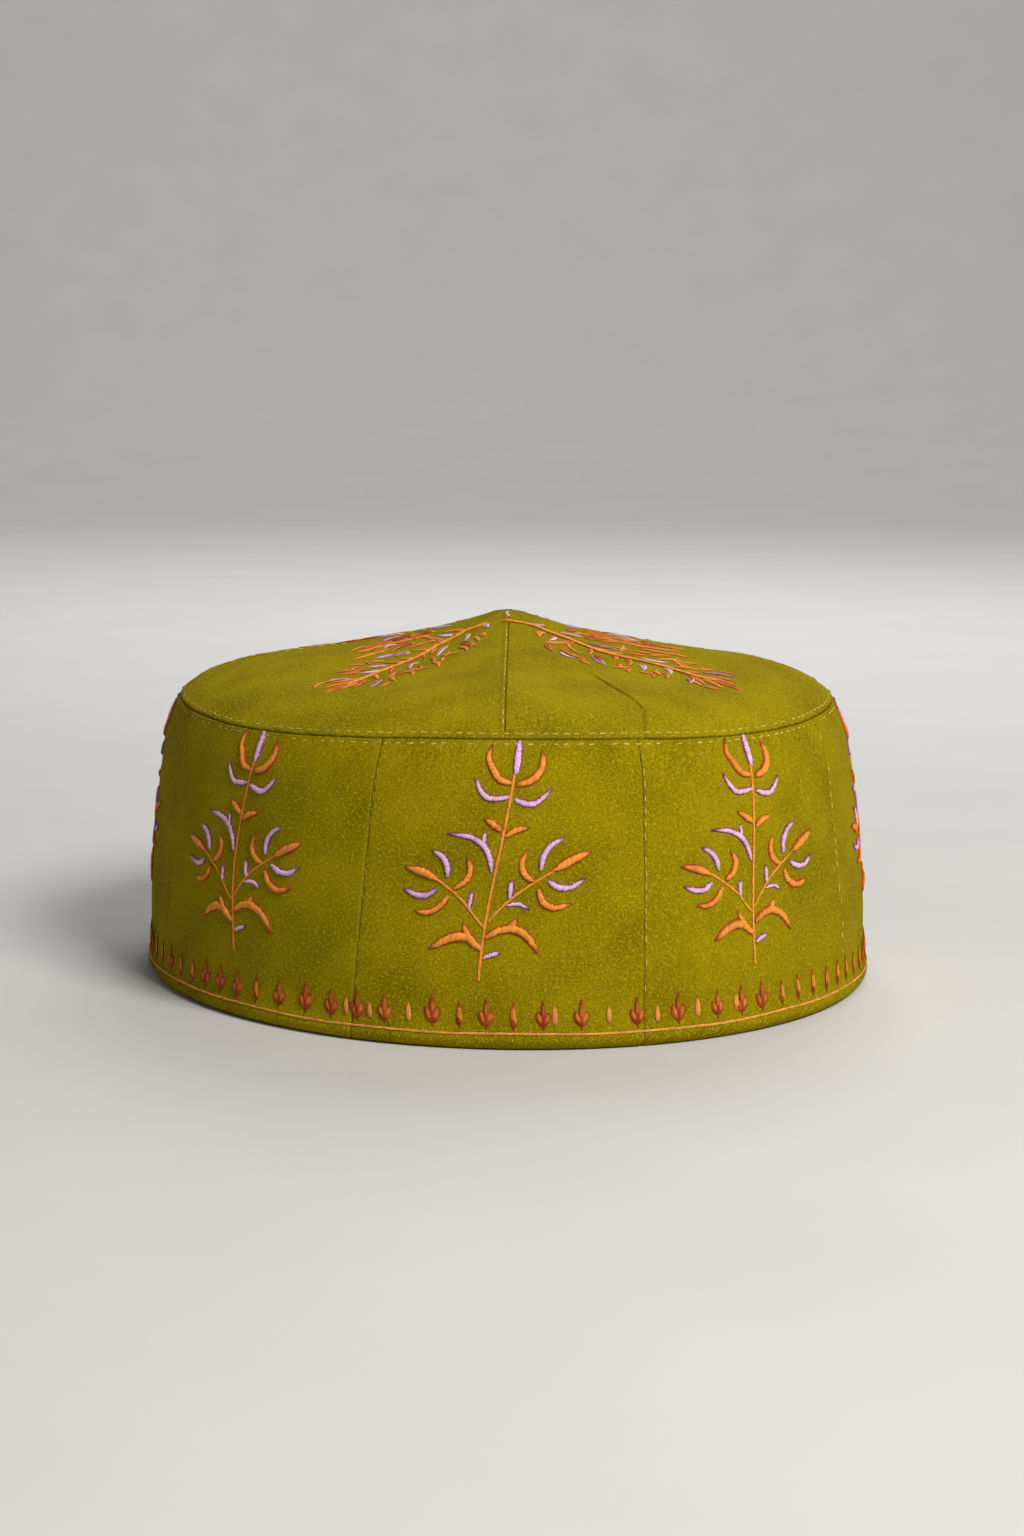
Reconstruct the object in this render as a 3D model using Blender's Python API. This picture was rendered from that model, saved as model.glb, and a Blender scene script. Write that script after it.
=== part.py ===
"""A tubeteika skullcap: an upright band of eight panels with a turned-up hem, and a shallow crown of four gores.

Metres and degrees. The cap stands on its hem at z = 0, its middle on the Z axis and its front towards -Y.
A turn is an angle round the cap: 0 at the front, rising towards +X.
"""

import math

import bmesh
import bpy
import numpy as np

CAP_NAME = "tubeteika_skullcap"

# The band and the crown, over their outer faces
HEM_RADIUS = 0.0930
SEAM_RADIUS = 0.0836
BAND_HEIGHT = 0.0694
CROWN_RISE = 0.0222

# The cloth, and the hem where it is turned up on itself
CLOTH = 0.0022
HEM_CLOTH = 0.0032
HEM_ROLL_HEIGHT = 0.0039
HEM_TURN_UP = 0.0081
HEM_STEP = 0.0006
SEWN_GAP = 0.0003

# What sets the hand-sewn cap apart from a turned shape
HEM_OVAL = 0.037
CROWN_OVAL = 0.025
OVAL_TURN = 45.0
SEAM_WAVE = 0.00085
GORE_SAG = 0.0012
APEX_RIGHT = 0.0012
APEX_FORWARD = 0.0011

GORE_COUNT = 4
GORE_TURN = -1.4
PANEL_COLUMNS = 8
GORE_COLUMNS = 16

# The inner face steps out to the single cloth over the turned-up hem
HEM_TOP = HEM_ROLL_HEIGHT + HEM_TURN_UP
WALL_FOOT = HEM_TOP + HEM_STEP

# The rolled hem. rise: share of the roll's height. bulge: how far out of the hem's radius, as a share of its cloth
HEM_ROWS = (
    {"rise": 0.00, "bulge": -0.62},
    {"rise": 0.20, "bulge": -0.18},
    {"rise": 0.56, "bulge": 0.05},
)

# The wall over the hem. rise: share of the height left up to the crown's seam. swell: share of the way from the
# seam's radius out to the hem's
BAND_ROWS = (
    {"rise": 0.00, "swell": 0.98},
    {"rise": 0.25, "swell": 0.87},
    {"rise": 0.50, "swell": 0.71},
    {"rise": 0.72, "swell": 0.54},
    {"rise": 0.89, "swell": 0.33},
    {"rise": 1.00, "swell": 0.00},
)

# Where the wall's levels lie over the hem, as shares of the height from the wall's foot up to the crown's seam
WALL_LEVELS = (0.0, 0.22, 0.44, 0.66, 0.86, 1.0)

# The crown. reach: share of the seam's radius. rise: share of the crown's rise. dip: share of the gores' sag
CROWN_ROWS = (
    {"reach": 0.93, "rise": 0.20, "dip": 0.20},
    {"reach": 0.84, "rise": 0.34, "dip": 0.50},
    {"reach": 0.66, "rise": 0.48, "dip": 1.00},
    {"reach": 0.44, "rise": 0.61, "dip": 1.00},
    {"reach": 0.22, "rise": 0.77, "dip": 0.60},
    {"reach": 0.09, "rise": 0.91, "dip": 0.20},
)

# The seam at each panel's left edge, as the turns of its top and its foot
PANEL_SEAMS = (
    {"panel": "band_panel_1", "top": -20.8, "foot": -24.6},
    {"panel": "band_panel_2", "top": 19.8, "foot": 17.8},
    {"panel": "band_panel_3", "top": 61.5, "foot": 60.5},
    {"panel": "band_panel_4", "top": 107.5, "foot": 107.5},
    {"panel": "band_panel_5", "top": 154.0, "foot": 154.0},
    {"panel": "band_panel_6", "top": 200.5, "foot": 200.5},
    {"panel": "band_panel_7", "top": 247.0, "foot": 247.0},
    {"panel": "band_panel_8", "top": 293.5, "foot": 292.0},
)

WELD_DISTANCE = 0.00001
FULL_TURN = 360.0
SHARP_EDGE = 40.0
LIME_CLOTH = (0.36, 0.33, 0.015, 1.0)
CLOTH_ROUGHNESS = 0.9


def column(rows, name):
    """One named column of a table."""
    return np.array([row[name] for row in rows])


def wall_ring(height, thickness):
    """A level of the wall over the hem's roll."""
    rise = (height - HEM_ROLL_HEIGHT) / (BAND_HEIGHT - HEM_ROLL_HEIGHT)
    swell = np.interp(rise, column(BAND_ROWS, "rise"), column(BAND_ROWS, "swell"))
    return ring(SEAM_RADIUS + swell * (HEM_RADIUS - SEAM_RADIUS), height, thickness)


def ring(radius, height, thickness, crown_share=0.0, dip=0.0):
    """One level of the cap: its outer face, its cloth and how far it has left the wall for the crown's middle."""
    return {
        "at": np.array([radius, height]),
        "thickness": thickness,
        "crown_share": crown_share,
        "dip": dip,
        "inward": np.array([-1.0, 0.0]),
    }


def band_rings():
    """The wall's levels from the hem's foot up to the crown's seam."""
    hem = [
        ring(HEM_RADIUS + row["bulge"] * HEM_CLOTH, row["rise"] * HEM_ROLL_HEIGHT, HEM_CLOTH)
        for row in HEM_ROWS
    ]
    turned_up = [wall_ring(height, HEM_CLOTH) for height in (HEM_ROLL_HEIGHT, HEM_TOP)]
    wall = [wall_ring(WALL_FOOT + share * (BAND_HEIGHT - WALL_FOOT), CLOTH) for share in WALL_LEVELS]
    return hem + turned_up + wall


def crown_rings():
    """The crown's levels from its seam in to the tip, where the gores' corners meet."""
    tip_radius = SEWN_GAP / 2 / math.sin(math.pi / GORE_COUNT)
    seam = ring(SEAM_RADIUS, BAND_HEIGHT, CLOTH)
    middle = [
        ring(
            row["reach"] * SEAM_RADIUS,
            BAND_HEIGHT + row["rise"] * CROWN_RISE,
            CLOTH,
            1.0 - row["reach"],
            row["dip"],
        )
        for row in CROWN_ROWS
    ]
    return [seam] + middle + [ring(tip_radius, BAND_HEIGHT + CROWN_RISE, CLOTH, 1.0)]


def square_to(before, after):
    """The unit direction at right angles to a stretch of the outline, towards the head."""
    along = after - before
    return np.array([-along[1], along[0]]) / np.linalg.norm(along)


def aim_cloth(band, crown):
    """Point each level's cloth inwards: level at the hem, square to the outline above it and down at the tip."""
    line = band[:-1] + crown
    for before, here, after in zip(line, line[1:], line[2:]):
        if here["at"][1] > WALL_FOOT:
            here["inward"] = square_to(before["at"], after["at"])
    band[-1]["inward"] = crown[0]["inward"]
    crown[-1]["inward"] = np.array([0.0, -1.0])


def part_at_seam(band, crown):
    """Draw the band's top and the crown's edge half a sewn gap back from their seam."""
    for edge, neighbour in ((band[-1], band[-2]), (crown[0], crown[1])):
        back = neighbour["at"] - edge["at"]
        edge["at"] = edge["at"] + back / np.linalg.norm(back) * SEWN_GAP / 2


def cloth_point(turn, level, depth):
    """A point of the cap at a turn and a level. depth is 0 on the outer face and 1 on the inner."""
    radius, height = level["at"] + depth * level["thickness"] * level["inward"]
    up_the_wall = min(level["at"][1] / BAND_HEIGHT, 1.0)
    oval = HEM_OVAL + (CROWN_OVAL - HEM_OVAL) * up_the_wall
    across = math.radians(turn - OVAL_TURN)
    along_oval = radius * (1 + oval) * math.cos(across)
    across_oval = radius * (1 - oval) * math.sin(across)
    tilt = math.radians(OVAL_TURN)
    right = along_oval * math.sin(tilt) + across_oval * math.cos(tilt)
    forward = along_oval * math.cos(tilt) - across_oval * math.sin(tilt)
    lobe = math.cos(GORE_COUNT * math.radians(turn - GORE_TURN))
    wave = SEAM_WAVE * lobe * up_the_wall**2 * (1 - level["crown_share"])
    sag = GORE_SAG * level["dip"] * (1 - lobe) / 2
    return (
        right + APEX_RIGHT * level["crown_share"],
        -forward - APEX_FORWARD * level["crown_share"],
        height + wave - sag,
    )


def sewn_inset(level):
    """The turn by which half a sewn gap draws an edge back from its seam."""
    return math.degrees(math.asin(SEWN_GAP / 2 / level["at"][0]))


def cloth_material():
    """The plain lime cloth of every piece."""
    material = bpy.data.materials.new("lime_cloth")
    material.use_nodes = True
    shader = material.node_tree.nodes["Principled BSDF"]
    shader.inputs["Base Color"].default_value = LIME_CLOTH
    shader.inputs["Roughness"].default_value = CLOTH_ROUGHNESS
    return material


def cloth_piece(name, levels, left_at, right_at, columns, material, collection):
    """One cut piece of cloth between two seams, which are given as functions of the level."""
    rows = len(levels) - 1
    mesh = bmesh.new()
    bmesh.ops.create_grid(mesh, x_segments=columns, y_segments=rows, size=0.5)
    outer = set(mesh.verts)
    bmesh.ops.solidify(mesh, geom=mesh.faces[:], thickness=-1.0)
    for vert in mesh.verts:
        depth = 0 if vert in outer else 1
        level = levels[round((vert.co.y + 0.5) * rows)]
        left = left_at(level) + sewn_inset(level)
        right = right_at(level) - sewn_inset(level)
        vert.co = cloth_point(left + (vert.co.x + 0.5) * (right - left), level, depth)
    bmesh.ops.remove_doubles(mesh, verts=mesh.verts[:], dist=WELD_DISTANCE)
    bmesh.ops.recalc_face_normals(mesh, faces=mesh.faces[:])
    data = bpy.data.meshes.new(name)
    mesh.to_mesh(data)
    mesh.free()
    data.materials.append(material)
    data.shade_smooth()
    data.set_sharp_from_angle(angle=math.radians(SHARP_EDGE))
    piece = bpy.data.objects.new(name, data)
    collection.objects.link(piece)
    return piece


def seam_turn(seam):
    """A band seam as a function of the level: it runs straight from its foot to its top."""

    def turn_at(level):
        return seam["foot"] + (seam["top"] - seam["foot"]) * level["at"][1] / BAND_HEIGHT

    return turn_at


def make_band(levels, material, collection):
    """The eight panels of the wall."""
    first = PANEL_SEAMS[0]
    closing = {"top": first["top"] + FULL_TURN, "foot": first["foot"] + FULL_TURN}
    for seam, following in zip(PANEL_SEAMS, PANEL_SEAMS[1:] + (closing,)):
        cloth_piece(
            seam["panel"], levels, seam_turn(seam), seam_turn(following), PANEL_COLUMNS, material, collection
        )


def make_crown(levels, material, collection):
    """The four gores, the first between the front seam and the right one."""
    width = FULL_TURN / GORE_COUNT
    for index in range(GORE_COUNT):
        left = GORE_TURN + index * width
        cloth_piece(
            f"crown_gore_{index + 1}",
            levels,
            lambda level, turn=left: turn,
            lambda level, turn=left + width: turn,
            GORE_COLUMNS,
            material,
            collection,
        )


def main():
    for old in list(bpy.data.objects):
        bpy.data.objects.remove(old, do_unlink=True)
    collection = bpy.data.collections.new(CAP_NAME)
    bpy.context.scene.collection.children.link(collection)
    material = cloth_material()
    band, crown = band_rings(), crown_rings()
    aim_cloth(band, crown)
    part_at_seam(band, crown)
    make_band(band, material, collection)
    make_crown(crown, material, collection)


main()
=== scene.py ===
"""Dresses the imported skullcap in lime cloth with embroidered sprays, a border of buds and topstitching.

Metres and degrees, in the frame's own axes. A turn is an angle round the cap: 0 at the front and rising
towards +X. A way is a length of cloth from the hem's foot, up the wall and over the crown to the tip. The
charts of the needlework are in millimetres of flat cloth.
"""

import math

import bpy
import numpy as np
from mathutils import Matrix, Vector


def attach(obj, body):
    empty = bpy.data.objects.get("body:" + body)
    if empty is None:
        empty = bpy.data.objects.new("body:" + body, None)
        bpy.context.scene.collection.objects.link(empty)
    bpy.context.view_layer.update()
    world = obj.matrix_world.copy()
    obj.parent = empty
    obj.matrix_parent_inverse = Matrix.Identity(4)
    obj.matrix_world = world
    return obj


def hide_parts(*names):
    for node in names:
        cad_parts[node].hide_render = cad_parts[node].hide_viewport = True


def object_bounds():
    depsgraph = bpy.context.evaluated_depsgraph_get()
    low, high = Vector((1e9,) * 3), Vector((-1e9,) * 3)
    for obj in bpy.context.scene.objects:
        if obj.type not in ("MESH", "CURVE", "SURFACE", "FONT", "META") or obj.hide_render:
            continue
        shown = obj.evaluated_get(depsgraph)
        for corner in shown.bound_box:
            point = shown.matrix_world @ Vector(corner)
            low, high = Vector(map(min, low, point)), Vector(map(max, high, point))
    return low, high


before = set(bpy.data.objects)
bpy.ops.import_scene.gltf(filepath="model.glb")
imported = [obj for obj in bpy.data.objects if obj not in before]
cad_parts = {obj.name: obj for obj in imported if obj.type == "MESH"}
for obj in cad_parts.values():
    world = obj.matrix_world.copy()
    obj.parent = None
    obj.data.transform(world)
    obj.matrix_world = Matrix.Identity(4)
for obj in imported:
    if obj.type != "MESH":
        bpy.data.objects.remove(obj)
CAD_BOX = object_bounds()
CAP_WIDTH = CAD_BOX[1].x - CAD_BOX[0].x
CAP_HEIGHT = CAD_BOX[1].z

bl_info = {
    "name": "Embroidered skullcap",
    "version": (1, 0, 0),
    "blender": (4, 5, 0),
    "location": "3D View > Sidebar > Skullcap",
    "description": "Sews a lime cloth skullcap with satin-stitch sprays over its packed solids",
    "category": "Object",
}

MM = 0.001
FULL_TURN = 360.0
BODY = "root"

# The outline. rise: share of the hem roll's height. bulge: share of the hem's cloth, out of the hem's radius
HEM_ROWS = (
    {"rise": 0.00, "bulge": -0.62},
    {"rise": 0.20, "bulge": -0.18},
    {"rise": 0.56, "bulge": 0.05},
)

# The wall over the hem. rise: share of the height left up to the crown's seam. swell: share of the way from
# the seam's radius out to the hem's
BAND_ROWS = (
    {"rise": 0.00, "swell": 0.98},
    {"rise": 0.25, "swell": 0.87},
    {"rise": 0.50, "swell": 0.71},
    {"rise": 0.72, "swell": 0.54},
    {"rise": 0.89, "swell": 0.33},
    {"rise": 1.00, "swell": 0.00},
)

# The crown. reach: share of the seam's radius. rise: share of the crown's rise. dip: share of the gores' sag
CROWN_ROWS = (
    {"reach": 0.93, "rise": 0.20, "dip": 0.20},
    {"reach": 0.84, "rise": 0.34, "dip": 0.50},
    {"reach": 0.66, "rise": 0.48, "dip": 1.00},
    {"reach": 0.44, "rise": 0.61, "dip": 1.00},
    {"reach": 0.22, "rise": 0.77, "dip": 0.60},
    {"reach": 0.09, "rise": 0.91, "dip": 0.20},
)

# The panels between their seams. left, left_foot: turns of the top and the foot of the seam at the left edge
BAND_PANELS = (
    {"panel": "band_panel_1", "left": -20.8, "left_foot": -24.6},
    {"panel": "band_panel_2", "left": 19.8, "left_foot": 17.8},
    {"panel": "band_panel_3", "left": 61.5, "left_foot": 60.5},
    {"panel": "band_panel_4", "left": 107.5, "left_foot": 107.5},
    {"panel": "band_panel_5", "left": 154.0, "left_foot": 154.0},
    {"panel": "band_panel_6", "left": 200.5, "left_foot": 200.5},
    {"panel": "band_panel_7", "left": 247.0, "left_foot": 247.0},
    {"panel": "band_panel_8", "left": 293.5, "left_foot": 292.0},
)
GORE_COUNT = 4
GORE_TURN = -1.4
HEM_OVAL = 0.037
CROWN_OVAL = 0.025
OVAL_TURN = 45.0
APEX_RIGHT = 0.0012
APEX_FORWARD = 0.0011

# The hand-sewn cloth's soft swells. waves: how many go round the cap. climb: how many lie up a metre of cloth
SWELLS = (
    {"waves": 5, "climb": 7.0, "phase": 0.4, "share": 0.30},
    {"waves": -9, "climb": 16.0, "phase": 2.1, "share": 0.26},
    {"waves": 14, "climb": 11.0, "phase": 4.0, "share": 0.20},
    {"waves": -23, "climb": 27.0, "phase": 1.2, "share": 0.14},
    {"waves": 31, "climb": -21.0, "phase": 5.1, "share": 0.10},
)

# The crease in the front right gore, as points to the right of the tip and in front of it, in millimetres
CREASE = (
    (16.0, 38.0), (19.5, 44.5), (22.5, 52.0), (25.5, 60.0), (28.5, 65.2), (30.2, 69.5), (30.0, 76.0),
)
CREASE_FADE = 0.006
CREASE_FOLD_EDGE = (-0.0002, 0.0005)
CREASE_FOLD_WIDTH = 0.007
CREASE_LINE_WIDTH = 0.00020
CREASE_LINE_DEPTH = 0.6
# How dark the shade painted into the crease's line is
CREASE_SHADE = 0.44

# The gore's cloth has a column at each of these turns, from a first to a last by a step, to carry the crease
CREASE_TURNS = (20.4, 25.0, 0.10)

# The forms beside the seams. place: distance from the seam. width: half of the form's width at a third of its
# height. The groove's place is a share of the cloth's thickness
PANEL_VALLEY_WIDTH = 0.26 * MM
PANEL_LIPS = {"place": 0.9 * MM, "width": 0.6 * MM, "height": 0.00006}
GORE_VALLEY_WIDTH = 0.21 * MM
GORE_LIP = {"place": -0.62 * MM, "width": 0.42 * MM, "height": 0.00026}
CROWN_VALLEY_WIDTH = 0.26 * MM
CROWN_LIP = {"place": 1.3 * MM, "width": 1.1 * MM, "share_on_band": 0.25}
CROWN_GROOVE = {"place": 0.68, "width": 0.35 * MM, "height": -0.00012}

# The puckers between the topstitches, round the crown's seam and along the seams that run up
PUCKERS_ROUND = {"pitch": 2.6 * MM, "reach": 2.6 * MM}
PUCKERS_UP = {"pitch": 3.4 * MM, "reach": 1.6 * MM, "share": 0.5}

# How the cloth shows its seams. shade: how dark the shade painted into the seam is. line: half that dark
# line's
# width. strain and reach: how strong the fine folds beside the seam are, and how far they go. The painted
# shade of a seam up the band grows by shade_gain towards its top
SEAMS_UP = {"shade": 0.28, "shade_gain": 0.50, "line": 0.16 * MM, "strain": 0.35, "reach": 0.006}
SEAM_ROUND = {"shade": 0.9, "line": 0.20 * MM, "strain": 0.8, "reach": 0.009}
# Painted seam shade: its gain starts at this share of the way to the crown's seam, and is this share on the
# crown
SEAM_GAIN_FROM = 0.6
SEAM_GAIN_ON_CROWN = 0.7
HEM_STRAIN = (0.004, 0.007)

# Leaves of the band's spray: thread, width and centre line. Its stem stands on the chart's middle
BAND_LEAVES = (
    {"thread": "lilac", "width": 1.8, "line": ((0.5, 46.9), (0.5, 50.6), (0.4, 54.6))},
    {"thread": "orange", "width": 1.6,
     "line": ((-0.4, 44.6), (-2.9, 45.5), (-5.0, 48.2), (-6.0, 49.9), (-5.5, 53.2))},
    {"thread": "orange", "width": 1.9,
     "line": ((1.5, 44.5), (3.7, 45.0), (5.6, 46.6), (6.3, 49.0), (5.7, 51.6))},
    {"thread": "lilac", "width": 1.4,
     "line": ((-0.4, 41.5), (-2.9, 41.2), (-5.0, 41.4), (-7.1, 43.5), (-8.4, 45.7))},
    {"thread": "lilac", "width": 1.5,
     "line": ((1.3, 41.0), (3.7, 40.2), (5.6, 40.1), (7.5, 41.4), (9.1, 43.6))},
    {"thread": "orange", "width": 1.5, "line": ((-0.8, 34.1), (-2.9, 35.6), (-4.9, 36.7))},
    {"thread": "orange", "width": 1.5, "line": ((0.5, 33.0), (2.9, 34.3), (5.4, 34.7))},
    {"thread": "lilac", "width": 1.4,
     "line": ((-1.5, 25.1), (-2.3, 27.8), (-4.2, 30.7), (-7.1, 32.4), (-12.7, 33.2))},
    {"thread": "lilac", "width": 1.0, "line": ((-4.2, 31.2), (-4.4, 33.7))},
    {"thread": "orange", "width": 2.0, "shape": "bud", "line": ((-13.2, 22.6), (-17.2, 24.4), (-21.2, 25.2))},
    {"thread": "lilac", "width": 1.5, "line": ((-11.2, 23.7), (-11.6, 25.7), (-12.9, 27.8), (-15.6, 29.3))},
    {"thread": "orange", "width": 1.5, "line": ((-9.0, 21.0), (-7.1, 22.4), (-6.2, 24.9), (-7.5, 28.0))},
    {"thread": "lilac", "width": 1.5, "line": ((-13.3, 20.4), (-15.2, 19.1), (-17.5, 19.1), (-20.6, 20.2))},
    {"thread": "orange", "width": 1.5, "line": ((-10.4, 18.9), (-11.7, 16.8), (-14.2, 15.3), (-17.3, 15.4))},
    {"thread": "lilac", "width": 1.1, "shape": "bar", "line": ((-5.1, 16.6), (-5.0, 20.2))},
    {"thread": "orange", "width": 2.3, "shape": "bud", "line": ((12.3, 25.1), (16.4, 27.4), (20.4, 29.2))},
    {"thread": "orange", "width": 1.5, "line": ((8.3, 22.7), (6.0, 24.5), (5.1, 26.6), (5.9, 29.9))},
    {"thread": "lilac", "width": 1.5, "line": ((9.6, 25.5), (9.6, 27.8), (10.8, 30.5), (13.7, 32.4))},
    {"thread": "lilac", "width": 1.5, "line": ((11.9, 22.7), (14.2, 21.4), (16.7, 21.2), (20.1, 23.2))},
    {"thread": "orange", "width": 1.6, "line": ((9.8, 20.8), (11.2, 18.2), (13.7, 16.8), (17.9, 17.6))},
    {"thread": "lilac", "width": 1.3, "shape": "bar", "line": ((3.6, 19.1), (3.5, 20.8), (3.4, 22.8))},
    {"thread": "lilac", "width": 0.9, "line": ((3.3, 17.4), (5.8, 17.7), (8.3, 16.5))},
    {"thread": "orange", "width": 2.2, "line": ((-3.6, 9.6), (-6.6, 10.1), (-9.2, 9.2), (-12.6, 7.0))},
    {"thread": "orange", "width": 1.7, "line": ((-1.1, 7.5), (-2.9, 8.8), (-4.4, 10.5), (-5.9, 13.2))},
    {"thread": "orange", "width": 1.9,
     "line": ((-0.1, 10.2), (2.4, 11.6), (5.2, 12.1), (8.4, 10.8), (12.1, 6.6))},
    {"thread": "orange", "width": 1.7, "line": ((3.4, 11.6), (4.9, 12.6), (6.1, 14.4))},
    {"thread": "lilac", "width": 1.1, "shape": "bar", "line": ((0.1, 5.4), (1.6, 6.1), (3.4, 6.6))},
)
BAND_STEMS = (
    ((-0.2, 0.0), (-0.6, 4.9), (-0.9, 12.8), (-0.7, 22.0), (-0.1, 33.7), (0.2, 42.0), (0.3, 47.0)),
    ((-1.0, 12.4), (-2.5, 13.5), (-5.0, 16.4), (-7.5, 18.7), (-9.6, 20.3), (-13.7, 23.0)),
    ((-0.4, 13.5), (1.7, 16.4), (4.2, 19.1), (6.7, 21.2), (9.6, 23.2), (12.9, 25.3)),
)

# Where the band's sprays stand. foot, top: turns of the stem's foot and of the band's top over it. bow: how
# far the stem bows right. drop: how much lower its head sits. spread: how much further its right branch goes
BAND_SPRAYS = (
    {"panel": "band_panel_1", "foot": -5.5, "top": 0.6, "bow": 0.0, "drop": 0.0, "spread": 0.0},
    {"panel": "band_panel_2", "foot": 37.4, "top": 39.6, "bow": 0.0, "drop": 1.0, "spread": 1.0},
    {"panel": "band_panel_3", "foot": 83.6, "top": 85.0, "bow": -0.6, "drop": 0.6, "spread": 0.3},
    {"panel": "band_panel_4", "foot": 129.8, "top": 131.6, "bow": 0.4, "drop": 0.4, "spread": 0.0},
    {"panel": "band_panel_5", "foot": 176.0, "top": 178.6, "bow": -0.3, "drop": 0.9, "spread": 0.6},
    {"panel": "band_panel_6", "foot": 223.0, "top": 224.4, "bow": 0.5, "drop": 0.2, "spread": 0.4},
    {"panel": "band_panel_7", "foot": 270.2, "top": 271.4, "bow": -0.8, "drop": 0.8, "spread": 0.2},
    {"panel": "band_panel_8", "foot": 313.9, "top": 316.2, "bow": -1.7, "drop": 1.0, "spread": 0.0},
)
# Heights of the stems' feet and of the band's top, and where on the chart a spray bows, spreads and drops
SPRAY_BASE = 15.9
SPRAY_TOP = 69.2
BOW_FROM = 6.0
BOW_LENGTH = 42.0
SPREAD_FROM = (8.0, 20.0)
SPREAD_UP = (12.0, 18.0)
DROP_UP = (14.0, 34.0)

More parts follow.
